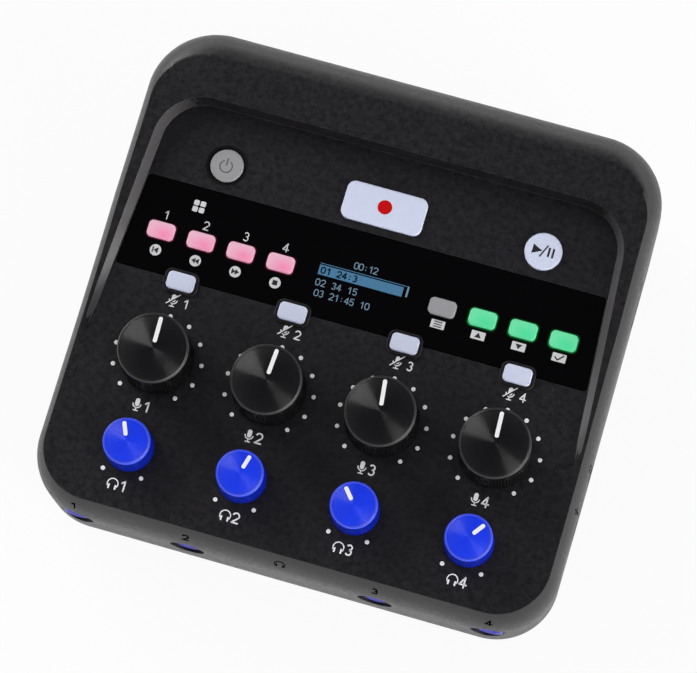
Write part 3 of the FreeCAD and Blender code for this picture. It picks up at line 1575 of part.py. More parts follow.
doc.recompute()
for item in doc.Objects:
    if "Invalid" in item.State or "Error" in item.State:
        raise RuntimeError(f"{item.Name} failed: {item.State}")
for body in pieces:
    if body.Shape.isNull() or not body.Shape.isValid() or not body.Shape.Solids:
        raise RuntimeError(f"{body.Label} has no sound shape")

os.makedirs("parts", exist_ok=True)
for body in pieces:
    body.Shape.exportStep(f"parts/{body.Label}.step")
    print(f"{body.Label}: {len(body.Shape.Solids)} solids, {body.Shape.Volume:.1f} cubic mm")
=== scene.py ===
import json
import math

import bmesh
import bpy
from mathutils import Matrix, Vector
from mathutils.bvhtree import BVHTree

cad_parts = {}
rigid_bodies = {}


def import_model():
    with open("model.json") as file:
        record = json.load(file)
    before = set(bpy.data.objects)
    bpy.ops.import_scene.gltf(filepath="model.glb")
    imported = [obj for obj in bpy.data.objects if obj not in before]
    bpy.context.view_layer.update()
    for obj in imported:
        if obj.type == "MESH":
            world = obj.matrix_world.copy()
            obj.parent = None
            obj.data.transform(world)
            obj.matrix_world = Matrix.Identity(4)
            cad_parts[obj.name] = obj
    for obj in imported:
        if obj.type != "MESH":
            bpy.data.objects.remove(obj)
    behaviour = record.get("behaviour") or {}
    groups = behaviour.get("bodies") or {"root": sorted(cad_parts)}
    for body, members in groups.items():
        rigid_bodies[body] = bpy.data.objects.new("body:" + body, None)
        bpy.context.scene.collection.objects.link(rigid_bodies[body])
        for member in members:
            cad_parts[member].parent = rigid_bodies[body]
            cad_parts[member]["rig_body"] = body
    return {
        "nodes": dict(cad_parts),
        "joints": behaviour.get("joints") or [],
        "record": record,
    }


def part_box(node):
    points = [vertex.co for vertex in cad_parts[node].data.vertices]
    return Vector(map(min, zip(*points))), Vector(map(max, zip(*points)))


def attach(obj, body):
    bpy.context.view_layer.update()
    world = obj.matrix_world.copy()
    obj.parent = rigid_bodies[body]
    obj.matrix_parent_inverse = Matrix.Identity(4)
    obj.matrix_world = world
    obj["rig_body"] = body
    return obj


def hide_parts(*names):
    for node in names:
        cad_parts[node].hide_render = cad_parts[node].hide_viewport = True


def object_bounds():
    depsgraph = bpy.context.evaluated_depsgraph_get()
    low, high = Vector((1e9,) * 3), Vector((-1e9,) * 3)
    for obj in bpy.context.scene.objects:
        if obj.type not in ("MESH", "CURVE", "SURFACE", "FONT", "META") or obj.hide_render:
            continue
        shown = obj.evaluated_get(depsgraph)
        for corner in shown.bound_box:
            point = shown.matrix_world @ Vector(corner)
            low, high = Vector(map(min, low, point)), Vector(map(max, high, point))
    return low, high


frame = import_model()
cad_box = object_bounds()
nodes = frame["nodes"]
mm = 0.001

# The panel's own frame, from the knobs' joints: x to the right, y to the back, z out of the panel.
# Everything on the panel is drawn in it, in millimetres, and then laid in its place.
turning = {joint["name"]: joint for joint in frame["joints"] if joint["type"] == "hinge"}
channels = (1, 2, 3, 4)
gain_turns = [turning[f"gain_turn_{number}"] for number in channels]
volume_turns = [turning[f"volume_turn_{number}"] for number in channels]
panel_normal = Vector(gain_turns[0]["axis"])
panel_right = Vector((1, 0, 0))
panel_back = panel_normal.cross(panel_right)
panel_middle = sum((Vector(turn["pos_m"]) for turn in gain_turns), Vector()) / len(gain_turns)
panel_axes = Matrix((panel_right, panel_back, panel_normal)).transposed().to_4x4()
panel = Matrix.Translation(panel_middle) @ panel_axes
panel_mm = panel @ Matrix.Scale(mm, 4)
onto_panel = panel.inverted()
channel_columns = [(onto_panel @ Vector(turn["pos_m"])).x / mm for turn in gain_turns]
volume_row = (onto_panel @ Vector(volume_turns[0]["pos_m"])).y / mm


# The camera stands where the photograph's stood: 0.87 m off, a little to the right of the recorder
# and in front of it, and turned so that the recorder leans over to the left.
camera_place = Vector((90.29, -158.04, 854.02))
camera_right = Vector((0.95869, 0.28117, -0.04316))
camera_ahead = Vector((-0.10244, 0.19973, -0.97448))
focal_length_in_frame_widths = 5.4519
camera_data = bpy.data.cameras.new("camera")
camera_data.sensor_width = 36
camera_data.lens = camera_data.sensor_width * focal_length_in_frame_widths
camera_data.clip_start = 0.05
camera = bpy.data.objects.new("camera", camera_data)
camera_up = camera_right.cross(camera_ahead)
camera_axes = Matrix((camera_right, camera_up, -camera_ahead)).transposed().to_4x4()
camera.matrix_world = panel @ Matrix.Translation(camera_place * mm) @ camera_axes
bpy.context.scene.collection.objects.link(camera)
bpy.context.scene.camera = camera
bpy.context.scene.view_settings.view_transform = "Standard"


# The table is a plain white sheet under soft studio light. It shows white to the camera and in
# reflections, and takes a faint share of the recorder's shadow.
class Reading:
    """One varying value of a surface. A material's maths is written as expressions on such values."""

    def __init__(self, finish, socket):
        self.finish = finish
        self.socket = socket

    def maths(self, operation, first, second):
        return self.finish.node("ShaderNodeMath", {"operation": operation}, {0: first, 1: second})

    def __add__(self, other):
        return self.maths("ADD", self, other)

    def __sub__(self, other):
        return self.maths("SUBTRACT", self, other)

    def __rsub__(self, other):
        return self.maths("SUBTRACT", other, self)

    def __mul__(self, other):
        return self.maths("MULTIPLY", self, other)

    def __truediv__(self, other):
        return self.maths("DIVIDE", self, other)

    def __pow__(self, other):
        return self.maths("POWER", self, other)

    def over(self, other):
        return self.maths("MAXIMUM", self, other)

    def under(self, other):
        return self.maths("MINIMUM", self, other)

    def wave(self):
        return self.maths("SINE", self, 0.0)

    __radd__ = __add__
    __rmul__ = __mul__


class Graph:
    """A node tree that is being made: node() adds any node and gives back one of its outputs."""

    def __init__(self, tree):
        self.tree = tree

    def node(self, kind, settings=None, values=None, output=0):
        made = self.tree.nodes.new(kind)
        for name, value in (settings or {}).items():
            setattr(made, name, value)
        for name, value in (values or {}).items():
            self.feed(made.inputs[name], value)
        return Reading(self, made.outputs[output])

    def feed(self, socket, value):
        if isinstance(value, Reading):
            self.tree.links.new(value.socket, socket)
        elif socket.type == "RGBA" and len(value) == 3:
            socket.default_value = (*value, 1.0)
        else:
            socket.default_value = value

    def split(self, vector):
        made = self.node("ShaderNodeSeparateXYZ", {}, {"Vector": vector})
        return [Reading(self, made.socket.node.outputs[axis]) for axis in "XYZ"]

    def blend(self, share, first, second):
        """A colour between two, by a share from 0 to 1."""
        factor, colour_a, colour_b, result = 0, 6, 7, 2
        values = {factor: share, colour_a: first, colour_b: second}
        return self.node("ShaderNodeMix", {"data_type": "RGBA"}, values, result)


class Finish(Graph):
    """A material round one Principled shader."""

    def __init__(self, name):
        self.material = bpy.data.materials.new(name)
        self.material.use_nodes = True
        super().__init__(self.material.node_tree)
        self.shader = self.tree.nodes["Principled BSDF"]

    def set(self, **values):
        for name, value in values.items():
            self.feed(self.shader.inputs[name.replace("_", " ")], value)

    def place(self):
        return self.node("ShaderNodeTexCoord", output="Object")

    def pattern(self):
        """The pattern's own coordinates, which a mesh carries as its UV map."""
        return self.split(self.node("ShaderNodeUVMap", {"uv_map": "pattern"}))

    def noise(self, grains_per_metre, place=None, detail=3.0, rough=0.55):
        place = place or self.place()
        values = {"Vector": place, "Scale": grains_per_metre, "Detail": detail, "Roughness": rough}
        return self.node("ShaderNodeTexNoise", {}, values, "Fac")

    def bump(self, height, depth, soft_edge=0.0):
        """Relief from a height of 0 to 1, which stands for a depth in mm, over edges softened in mm."""
        values = {"Height": height, "Distance": depth * mm, "Strength": 1.0}
        if soft_edge:
            values["Normal"] = self.node("ShaderNodeBevel", {"samples": 4}, {"Radius": soft_edge * mm})
        return self.node("ShaderNodeBump", {}, values, "Normal")


def table_finish():
    finish = Finish("white_table")
    path = finish.node("ShaderNodeLightPath", output="Is Camera Ray")
    glossy = Reading(finish, path.socket.node.outputs["Is Glossy Ray"])
    through = Reading(finish, path.socket.node.outputs["Is Transmission Ray"])
    seen = (path + glossy + through).under(1.0)
    finish.set(Base_Color=(0.82, 0.82, 0.82), Roughness=0.9, Specular_IOR_Level=0.0)
    paper = Reading(finish, finish.shader.outputs[0])
    light = finish.node("ShaderNodeEmission", {}, {"Color": (1.0, 1.0, 1.0), "Strength": 1.0})
    share_of_light = 0.93
    mixed = finish.node("ShaderNodeMixShader", {}, {0: seen * share_of_light, 1: paper, 2: light})
    finish.feed(finish.tree.nodes["Material Output"].inputs["Surface"], mixed)
    return finish.material


table_reach = 3.0
table_mesh = bpy.data.meshes.new("table")
table_corners = [(-table_reach, -table_reach, 0), (table_reach, -table_reach, 0),
                 (table_reach, table_reach, 0), (-table_reach, table_reach, 0)]
table_mesh.from_pydata(table_corners, [], [(0, 1, 2, 3)])
table_mesh.materials.append(table_finish())
table = bpy.data.objects.new("table", table_mesh)
bpy.context.scene.collection.objects.link(table)


# The studio is bright near the horizon and dim overhead, so the flanks take more light than the top.
# Three broad lamps stand round the table. The camera sees plain white behind it.
world = bpy.data.worlds.new("studio")
world.use_nodes = True
bpy.context.scene.world = world
sky = Graph(world.node_tree)
sky_height = sky.split(sky.node("ShaderNodeTexCoord", output="Generated"))[2]
sky_ramp = sky.node("ShaderNodeValToRGB", {}, {"Fac": sky_height})
horizon, overhead = sky_ramp.socket.node.color_ramp.elements
horizon.color = (2.4, 2.4, 2.42, 1)
horizon.position = 0.1
overhead.color = (0.17, 0.165, 0.185, 1)
overhead.position = 0.55
seen_by_camera = sky.node("ShaderNodeLightPath", output="Is Camera Ray")
sky_light = sky.tree.nodes["Background"]
sky.feed(sky_light.inputs["Color"], sky.blend(seen_by_camera, sky_ramp, (1.0, 1.0, 1.0)))


def soft_box(name, place, width, depth, power):
    """A broad lamp that faces the recorder."""
    lamp = bpy.data.lights.new(name, "AREA")
    lamp.shape = "RECTANGLE"
    lamp.size = width
    lamp.size_y = depth
    lamp.energy = power
    stand = bpy.data.objects.new(name, lamp)
    stand.location = place
    stand.rotation_euler = (-Vector(place)).to_track_quat("-Z", "Y").to_euler()
    bpy.context.scene.collection.objects.link(stand)


soft_box("key_lamp", (-1.2, 0.7, 0.85), 1.0, 0.8, 15)
soft_box("side_lamp", (1.1, -0.75, 0.75), 0.7, 0.7, 8)
soft_box("low_lamp", (1.3, -0.35, 0.3), 1.2, 0.45, 9)


# The tray closes the case from below and holds the battery box. It is moulded in black plastic with a
# fine spark-eroded grain, as the upper shell is. Its piece is the solid with its facets smoothed over.
def grained_plastic():
    finish = Finish("grained_black_plastic")
    place = finish.place()
    grain = finish.noise(2600, place, 2.0, 0.6)
    cloud = finish.noise(800, place, 4.0, 0.65)
    mottle = ((grain - 0.5) * 0.5 + (cloud - 0.5) * 2.6 + 0.5).over(0.0).under(1.0)
    darker, lighter = (0.0013, 0.00105, 0.0013), (0.00988, 0.00798, 0.00988)
    finish.set(Base_Color=finish.blend(mottle, darker, lighter),
               Roughness=0.42 + (grain - 0.5) * 0.3 + (cloud - 0.5) * 0.35,
               Normal=finish.bump(grain + cloud, 0.006, 0.25))
    return finish.material


def body_of(node):
    return nodes[node]["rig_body"]


def keep(piece, body):
    """Lets a finished piece ride on a body of the frame."""
    if not piece.users_collection:
        bpy.context.scene.collection.objects.link(piece)
    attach(piece, body)
    return piece


def settle(piece):
    """Turns what the piece's modifiers make of it into its own plain mesh."""
    bpy.context.view_layer.update()
    seen = piece.evaluated_get(bpy.context.evaluated_depsgraph_get())
    made = bpy.data.meshes.new_from_object(seen)
    made.name = piece.name
    piece.modifiers.clear()
    piece.data = made


def shade(shape, sharp_above):
    """Smooth light over the faces, with every edge kept crisp that bends by more than an angle."""
    for face in shape.faces:
        face.smooth = True
    for edge in shape.edges:
        edge.smooth = len(edge.link_faces) == 2 and edge.calc_face_angle(0) < math.radians(sharp_above)


def smooth_copy(node, finish, name):
    """A copy of a solid with its facets smoothed. Flat faces keep their own light and edges stay crisp."""
    mesh = nodes[node].data.copy()
    mesh.name = name
    shape = bmesh.new()
    shape.from_mesh(mesh)
    bmesh.ops.remove_doubles(shape, verts=shape.verts, dist=0.004 * mm)
    bmesh.ops.dissolve_degenerate(shape, edges=shape.edges, dist=0.002 * mm)
    for face in shape.faces:
        face.material_index = 0
    shade(shape, sharp_above=32)
    shape.to_mesh(mesh)
    shape.free()
    mesh.materials.clear()
    mesh.materials.append(finish)
    piece = bpy.data.objects.new(name, mesh)
    bpy.context.scene.collection.objects.link(piece)
    weigh = piece.modifiers.new("weigh", "WEIGHTED_NORMAL")
    weigh.keep_sharp = True
    weigh.weight = 80
    settle(piece)
    keep(piece, body_of(node))
    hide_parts(node)
    return piece


shell_plastic = grained_plastic()
smooth_copy("lower_case", shell_plastic, "tray")


# The battery door is moulded in the tray's black plastic and lies flush in its underside. A lip along
# each side holds it up while it slides off to the left.
smooth_copy("battery_door", shell_plastic, "door_of_battery_box")


# Four feet of dull rubber are pressed into seats near the corners of the underside, and carry the
# recorder a little above the table.
def rubber():
    finish = Finish("dull_rubber")
    dust = finish.noise(700, detail=4.0)
    finish.set(Base_Color=finish.blend(dust, (0.012, 0.012, 0.012), (0.03, 0.03, 0.029)), Roughness=0.82,
               Normal=finish.bump(finish.noise(3000), 0.01))
    return finish.material


smooth_copy("rubber_feet", rubber(), "feet")


# Six blackened screws close the case from below. Plated steel ones hold the boards, and the springs,
# the card's cage, the data socket and the rotary controls are pressed from plated sheet.
def metal(name, colour):
    finish = Finish(name)
    brushing = finish.noise(1500, detail=2.0)
    finish.set(Base_Color=colour, Metallic=1.0, Roughness=0.25 + brushing * 0.2)
    return finish.material


def coat(finish, *solids):
    """Gives solids that stay in the scene their finish."""
    for node in solids:
        nodes[node].data.materials.clear()
        nodes[node].data.materials.append(finish)


steel = metal("plated_steel", (0.55, 0.55, 0.57))
coat(metal("blackened_steel", (0.035, 0.035, 0.038)), "case_screws")
coat(steel, "board_screws", "battery_contacts", "usb_port", "card_slot", "potentiometers")


# Two cells lie side by side in the battery box. Each is a steel can in a sleeve of thin film, printed
# black with a band of plain copper colour at one end.
def cell_sleeve():
    finish = Finish("cell_sleeve")
    band_from = -0.018
    x = finish.split(finish.place())[0]
    stripe = finish.node("ShaderNodeMath", {"operation": "GREATER_THAN"}, {0: x, 1: band_from})
    finish.set(Base_Color=finish.blend(stripe, (0.03, 0.03, 0.035), (0.45, 0.33, 0.12)), Metallic=0.6,
               Roughness=0.3 + finish.noise(400) * 0.1)
    return finish.material


coat(cell_sleeve(), "battery_cells")


# Three circuit boards of green glass fibre stand under the panel, over the floor in front and inside
# the rear wall. The buttons' switches and the jacks that are soldered to them are moulded in black.
def solder_mask():
    finish = Finish("solder_mask")
    weave = finish.noise(900, detail=1.0)
    finish.set(Base_Color=finish.blend(weave, (0.004, 0.06, 0.02), (0.01, 0.11, 0.035)), Roughness=0.35,
               Normal=finish.bump(weave, 0.01))
    return finish.material


def moulded_black(name, roughness):
    finish = Finish(name)
    haze = finish.noise(1200)
    finish.set(Base_Color=finish.blend(haze, (0.01, 0.01, 0.011), (0.018, 0.018, 0.02)),
               Roughness=roughness + haze * 0.1)
    return finish.material


coat(solder_mask(), "panel_board", "jack_board", "xlr_board")
coat(moulded_black("moulded_black", 0.35), "tact_switches", "phone_jack",
     *[f"headphone_jack_{number}" for number in channels])


# Four violet-blue plastic rings frame the headphone jacks in the front. Each is moulded with a funnel
# that leads the plug into its hole and a soft outer edge, and is pressed into the shell from in front.
def tinted_plastic(name, colour, roughness, gloss=0.5):
    finish = Finish(name)
    cloud = finish.noise(500, detail=2.0)
    dark = [part * 0.92 for part in colour]
    finish.set(Base_Color=finish.blend(cloud, dark, colour), Roughness=roughness + cloud * 0.08,
               Specular_IOR_Level=gloss, Normal=finish.bump(finish.noise(2200), 0.002, 0.2))
    return finish.material


def lathe(profile, sides=96):
    """Points and faces of an outline (radius, height) turned once. Closed where the radius is 0."""
    points, faces, rows = [], [], []
    for radius, height in profile:
        start = len(points)
        if radius == 0:
            points.append((0, 0, height))
            rows.append([start] * sides)
        else:
            turns = [math.tau * step / sides for step in range(sides)]
            points += [(radius * math.cos(turn), radius * math.sin(turn), height) for turn in turns]
            rows.append(list(range(start, start + sides)))
    for low, high in zip(rows, rows[1:]):
        for step in range(sides):
            following = (step + 1) % sides
            corners = [low[step], low[following], high[following], high[step]]
            faces.append(tuple(dict.fromkeys(corners)))
    return points, faces


def piece_of(name, points, faces, finishes, place, sharp_above=40):
    """A smooth-shaded piece from points in millimetres, laid in its place."""
    mesh = bpy.data.meshes.new(name)
    mesh.from_pydata(points, [], faces)
    for finish in finishes:
        mesh.materials.append(finish)
    pattern = mesh.uv_layers.new(name="pattern")
    for loop in mesh.loops:
        pattern.data[loop.index].uv = mesh.vertices[loop.vertex_index].co.xy
    mesh.transform(place)
    shape = bmesh.new()
    shape.from_mesh(mesh)
    bmesh.ops.recalc_face_normals(shape, faces=shape.faces)
    shade(shape, sharp_above)
    shape.to_mesh(mesh)
    shape.free()
    piece = bpy.data.objects.new(name, mesh)
    bpy.context.scene.collection.objects.link(piece)
    return piece


facing_front = Matrix.Rotation(math.radians(90), 4, "X")
ring_plastic = tinted_plastic("violet_blue_ring", (0.05, 0.045, 0.42), 0.3)
jacks = [mount for mount in frame["record"]["mounts"] if mount["name"].startswith("headphone")]
plug_radius = jacks[0]["dims"]["r_mm"]
ring_low, ring_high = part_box("jack_rings")
ring_length = (ring_high[1] - ring_low[1]) / mm
ring_radius = (ring_high[2] - ring_low[2]) / 2 / mm
ring_outline = [
    (plug_radius, -ring_length), (plug_radius, -1.0), (plug_radius + 0.15, -0.85),
    (ring_radius - 0.75, -0.06), (ring_radius - 0.6, 0), (ring_radius - 0.25, 0),
    (ring_radius - 0.06, -0.1), (ring_radius, -0.3), (ring_radius, -ring_length),
    (plug_radius, -ring_length),
]
jack_places = [Vector((mount["pos_m"][0], ring_low[1], mount["pos_m"][2])) for mount in jacks]
for number, jack_place in enumerate(jack_places, start=1):
    points, faces = lathe(ring_outline, 48)
    place = Matrix.Translation(jack_place) @ facing_front @ Matrix.Scale(mm, 4)
    ring = keep(piece_of(f"ring_of_jack_{number}", points, faces, [ring_plastic], place), "case")
    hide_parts("jack_rings")


# Four microphone sockets stand in the rear wall. Each is a black moulded shell with an insert, which
# holds three gold-plated tubes a little way behind its face.
socket_black = moulded_black("socket_black", 0.4)
for number in channels:
    smooth_copy(f"xlr_socket_{number}", socket_black, f"microphone_socket_{number}")
smooth_copy("xlr_inserts", moulded_black("insert_black", 0.5), "microphone_inserts")
gold = metal("gold_plating", (0.83, 0.6, 0.22))
tube_radius, bore, tube_length, set_in = 1.33, 1.13, 3.0, 0.35
tube_outline = [(bore, -tube_length), (bore, -0.2), (bore + 0.12, 0), (tube_radius, 0),
                (tube_radius, -tube_length), (bore, -tube_length)]
pole_places = [(-3.87, 1.9), (3.87, 1.9), (0, -4.3)]
facing_back = Matrix.Rotation(math.radians(-90), 4, "X")
mounts = {mount["name"]: mount for mount in frame["record"]["mounts"]}
socket_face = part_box("xlr_inserts")[1][1]
for number in channels:
    middle = Vector(mounts[f"microphone_{number}"]["pos_m"])
    for pole, (across, up) in enumerate(pole_places, start=1):
        mouth = Vector((middle.x + across * mm, socket_face - set_in * mm, middle.z + up * mm))
        points, faces = lathe(tube_outline, 32)
        place = Matrix.Translation(mouth) @ facing_back @ Matrix.Scale(mm, 4)
        keep(piece_of(f"contact_{pole}_of_socket_{number}", points, faces, [gold], place), "case")


# The upper shell carries the panel, the hood round it and the rolled flanks. Its moulding is grained
# like the tray's. The recess's side walls are painted lighter, as painted light, and this fades into painted
# shade on the back wall. The dished seat round the power button is painted near black, as painted shade.
upper = smooth_copy("upper_case", shell_plastic, "upper_shell")


def wall_plastic():
    """The side walls are painted much lighter than the panel, as painted light that they catch from the
    sides, and the back wall is painted dark, as painted shade. The one fades into the other round the
    corners, over a stretch in millimetres from the middle."""
    finish = Finish("smoother_side_walls")
    fade_from, fade_over = 47.0, 10.0
    x = finish.split(finish.place())[0] * (1 / mm)
    # aside is the share of painted light. It is 0 on the back wall, which is painted dark as shade, and 1 on
    # the side walls, which are painted lighter where they catch the light.
    aside = (((x * x) ** 0.5 - fade_from) * (1 / fade_over)).over(0.0).under(1.0)
    grain = finish.noise(2600)
    finish.set(Base_Color=finish.blend(aside, (0.004, 0.0034, 0.004), (0.078, 0.073, 0.076)),
               Roughness=0.4 + (grain - 0.5) * 0.2, Normal=finish.bump(grain, 0.005, 0.3))
    return finish.material


def dull_seat():
    # The near-black colour is a painted shade for the shadow in the dished ring round the power button.
    finish = Finish("dull_seat")
    grain = finish.noise(2600)
    finish.set(Base_Color=finish.blend(grain, (0.0008, 0.0008, 0.0009), (0.002, 0.002, 0.002)),
               Roughness=0.7, Specular_IOR_Level=0.2, Normal=finish.bump(grain, 0.004))
    return finish.material


recess_half_width, recess_front, recess_back = 61.5, -3.0, 63.0
recess_middle = Vector((0, 28))
above_floor, steepest_wall, flattest_wall, flattest_seat = 0.02, 0.1, 0.95, 0.97
power_place, power_seat_radius = Vector((-38.4, 48.4)), 5.1
upper.data.materials.append(wall_plastic())
upper.data.materials.append(dull_seat())
for face in upper.data.polygons:
    place = onto_panel @ face.center / mm
    lean = onto_panel.to_3x3() @ face.normal
    in_recess = abs(place.x) < recess_half_width and recess_front < place.y < recess_back
    faces_inward = lean.xy.dot(recess_middle - place.xy) > 0
    # The recess's inward-leaning walls take the painted light and shade of the walls' material.
    if in_recess and place.z > above_floor and steepest_wall < lean.z < flattest_wall and faces_inward:
        face.material_index = 1
    # The dished seat round the power button takes the painted shade.
    if (place.xy - power_place).length < power_seat_radius and lean.z < flattest_seat:
        face.material_index = 2


# The card door closes a slot in the right flank. It is moulded in the shell's plastic, flush with it,
# and turns about the pins along its lower edge.
smooth_copy("card_cover", shell_plastic, "card_door")


# The gloss strip is a black window of smoke-tinted plastic, glued flush into its seat over the display
# and the buttons' lights. The display behind it looks as black.
def gloss_black(name="gloss_black_window", glow=None):
    finish = Finish(name)
    finish.set(Base_Color=(0.0006, 0.0006, 0.0009), Roughness=0.07 + finish.noise(60) * 0.03,
               Specular_IOR_Level=0.12)
    if glow:
        _, nearness, _ = finish.pattern()
        finish.set(Emission_Color=finish.blend(nearness ** 2.0, (0, 0, 0), glow), Emission_Strength=1.0)
    return finish.material


window_gloss = gloss_black()
smooth_copy("display_window", window_gloss, "gloss_window")
coat(window_gloss, "oled_module")


# White dots are pad-printed on the panel round each knob: eleven that mark a gain knob's turn, and two
# that mark the ends of a volume knob's.
def ink(name, colour, glow=0.0, gloss=0.5):
    finish = Finish(name)
    wear = finish.noise(1500)
    finish.set(Base_Color=finish.blend(wear, [part * 0.9 for part in colour], colour), Roughness=0.5,
               Specular_IOR_Level=gloss)
    if glow:
        finish.set(Emission_Color=colour, Emission_Strength=glow)
    return finish.material


def turned_copies():
    """A node group: copies of a piece, each turned one step further round the upright axis."""
    group = bpy.data.node_groups.new("turned_copies", "GeometryNodeTree")
    kinds = {"Piece": "Geometry", "Copies": "Int", "Start": "Float", "Step": "Float", "Finish": "Material"}
    for name, kind in kinds.items():
        group.interface.new_socket(name, in_out="INPUT", socket_type=f"NodeSocket{kind}")
    group.interface.new_socket("Result", in_out="OUTPUT", socket_type="NodeSocketGeometry")
    graph = Graph(group)
    given = group.nodes.new("NodeGroupInput").outputs
    piece, copies, start, step, finish = [Reading(graph, given[name]) for name in kinds]
    turn = graph.node("ShaderNodeCombineXYZ", {}, {"Z": start + graph.node("GeometryNodeInputIndex") * step})
    points = graph.node("GeometryNodePoints", {}, {"Count": copies})
    placing = {"Points": points, "Instance": piece, "Rotation": turn}
    placed = graph.node("GeometryNodeInstanceOnPoints", {}, placing)
    real = graph.node("GeometryNodeRealizeInstances", {}, {"Geometry": placed})
    done = graph.node("GeometryNodeSetMaterial", {}, {"Geometry": real, "Material": finish})
    graph.feed(group.nodes.new("NodeGroupOutput").inputs["Result"], done)
    return group


copying = turned_copies()
inputs = [item for item in copying.interface.items_tree if item.in_out == "INPUT"]
copying_inputs = {item.name: item.identifier for item in inputs}


def turned(piece, copies, start, step, finish):
    """The piece in copies turned about its own upright axis, as one plain mesh."""
    modifier = piece.modifiers.new("copies", "NODES")
    modifier.node_group = copying
    for name, value in (("Copies", copies), ("Start", start), ("Step", step), ("Finish", finish)):
        modifier[copying_inputs[name]] = value
    settle(piece)


def ring_of_dots(name, x, y, reach, count, step):
    """Slightly domed dots of ink in a ring, evenly to both sides of straight back."""
    sides, edge_height, crown_height = 14, 0.01, 0.04
    turns = [math.tau * side / sides for side in range(sides)]
    rim = [(dot_radius * math.cos(turn), reach + dot_radius * math.sin(turn)) for turn in turns]
    points = [(*place, edge_height) for place in rim]
    points.append((0, reach, crown_height))
    faces = [(side, (side + 1) % sides, sides) for side in range(sides)]
    piece = piece_of(name, points, faces, [white_ink], Matrix())
    turned(piece, count, -step * (count - 1) / 2, step, white_ink)
    piece.data.transform(panel_mm @ Matrix.Translation((x, y, 0)))
    keep(piece, "case")


white_ink = ink("white_ink", (0.93, 0.93, 0.93))
dot_radius = 0.52
for number, x in enumerate(channel_columns, start=1):
    ring_of_dots(f"dots_of_gain_{number}", x, 0, reach=10.36, count=11, step=math.radians(28))
    ring_of_dots(f"dots_of_volume_{number}", x, volume_row, reach=7.7, count=2, step=math.radians(286.6))


# The channels' signs are pad-printed in the same white: a microphone and the channel's number below the
# gain knob, headphones below the volume knob, and a crossed-out microphone below the mute button.
class Print:
    """Flat ink. Shapes are drawn in millimetres and lie one layer above another."""

    def __init__(self, name, finish, layer=1):
        self.name = name
        self.finish = finish
        self.height = 0.02 * layer
        self.points = []
        self.faces = []

    def fill(self, outline):
        start = len(self.points)
        self.points += outline
        self.faces.append(tuple(range(start, start + len(outline))))

    def box(self, x, y, width, depth):
        half, tall = width / 2, depth / 2
        self.fill([(x - half, y - tall), (x + half, y - tall), (x + half, y + tall), (x - half, y + tall)])

    def rounded_box(self, x, y, width, depth, radius):
        self.fill(rounded_outline(x, y, width, depth, radius))

    def disc(self, x, y, radius, sides=28):
        turns = [math.tau * side / sides for side in range(sides)]
        self.fill([(x + radius * math.cos(turn), y + radius * math.sin(turn)) for turn in turns])

    def arc(self, x, y, radius, width, start, end, steps=24):
        """A ring's stretch between two angles in degrees."""
        inner, outer = radius - width / 2, radius + width / 2
        turns = [math.radians(start + (end - start) * step / steps) for step in range(steps + 1)]
        edges = [(math.cos(turn), math.sin(turn)) for turn in turns]
        for (ax, ay), (bx, by) in zip(edges, edges[1:]):
            self.fill([(x + ax * inner, y + ay * inner), (x + ax * outer, y + ay * outer),
                       (x + bx * outer, y + by * outer), (x + bx * inner, y + by * inner)])

    def stroke(self, start, end, width):
        along = (Vector(end) - Vector(start)).normalized()
        side = Vector((-along.y, along.x)) * width / 2
        corners = [Vector(start) - side, Vector(end) - side, Vector(end) + side, Vector(start) + side]
        self.fill([tuple(corner) for corner in corners])

    def line(self, points, width):
        """A line of even width with round joints and ends."""
        for start, end in zip(points, points[1:]):
            self.stroke(start, end, width)
        for x, y in points:
            self.disc(x, y, width / 2, 12)

    def numeral(self, digit, x, y, height, weight):
        """One plain numeral of lines and arcs, centred across x, standing on y."""
        width = height * weight
        low, high, half = y + width / 2, y + height - width / 2, 0.27 * height
        upper = 0.25 * height - width / 4
        if digit == "1":
            stem = x + half * 0.35
            self.line([(x - half * 0.55, high - 0.2 * height), (stem, high)], width)
            self.line([(stem, high), (stem, low)], width)
        elif digit == "2":
            self.arc(x, high - half, half, width, -28, 165)
            self.line([(x + half * 0.88, high - half * 1.45), (x - half, low), (x + half, low)], width)
        elif digit == "3":
            self.arc(x, high - upper, upper, width, -90, 155)
            self.arc(x, low + upper * 1.08, upper * 1.08, width, -155, 90)
        elif digit == "4":
            stem, bar = x + half * 0.45, low + 0.24 * height
            self.line([(x + half * 1.15, bar), (x - half, bar), (stem, high), (stem, low)], width)
        elif digit == "5":
            neck = (x - half * 0.9, y + 0.52 * height)
            self.line([(x + half * 0.85, high), (x - half * 0.7, high), neck], width)
            self.arc(x - half * 0.05, low + half, half, width, -150, 140)
        elif digit == "0":
            self.arc(x, high - half, half, width, 0, 180)
            self.arc(x, low + half, half, width, 180, 360)
            for side in (-1, 1):
                self.stroke((x + side * half, low + half), (x + side * half, high - half), width)
        elif digit == ":":
            for share in (0.25, 0.65):
                self.disc(x, y + height * share, width * 0.6, 10)

    def numerals(self, text, x, y, height, pitch=0.68, weight=0.13):
        """A row of numerals, centred across x."""
        for place, digit in enumerate(text):
            offset = (place - (len(text) - 1) / 2) * pitch * height
            self.numeral(digit, x + offset, y, height, weight)

    def finished(self, lay=None, body="case"):
        """The ink as a piece, laid on the panel or by a rule from drawing to place."""
        mesh = bpy.data.meshes.new(self.name)
        lay = lay or (lambda x, y: panel_mm @ Vector((x, y, self.height)))
        mesh.from_pydata([lay(x, y) for x, y in self.points], [], self.faces)
        mesh.materials.append(self.finish)
        keep(bpy.data.objects.new(self.name, mesh), body)


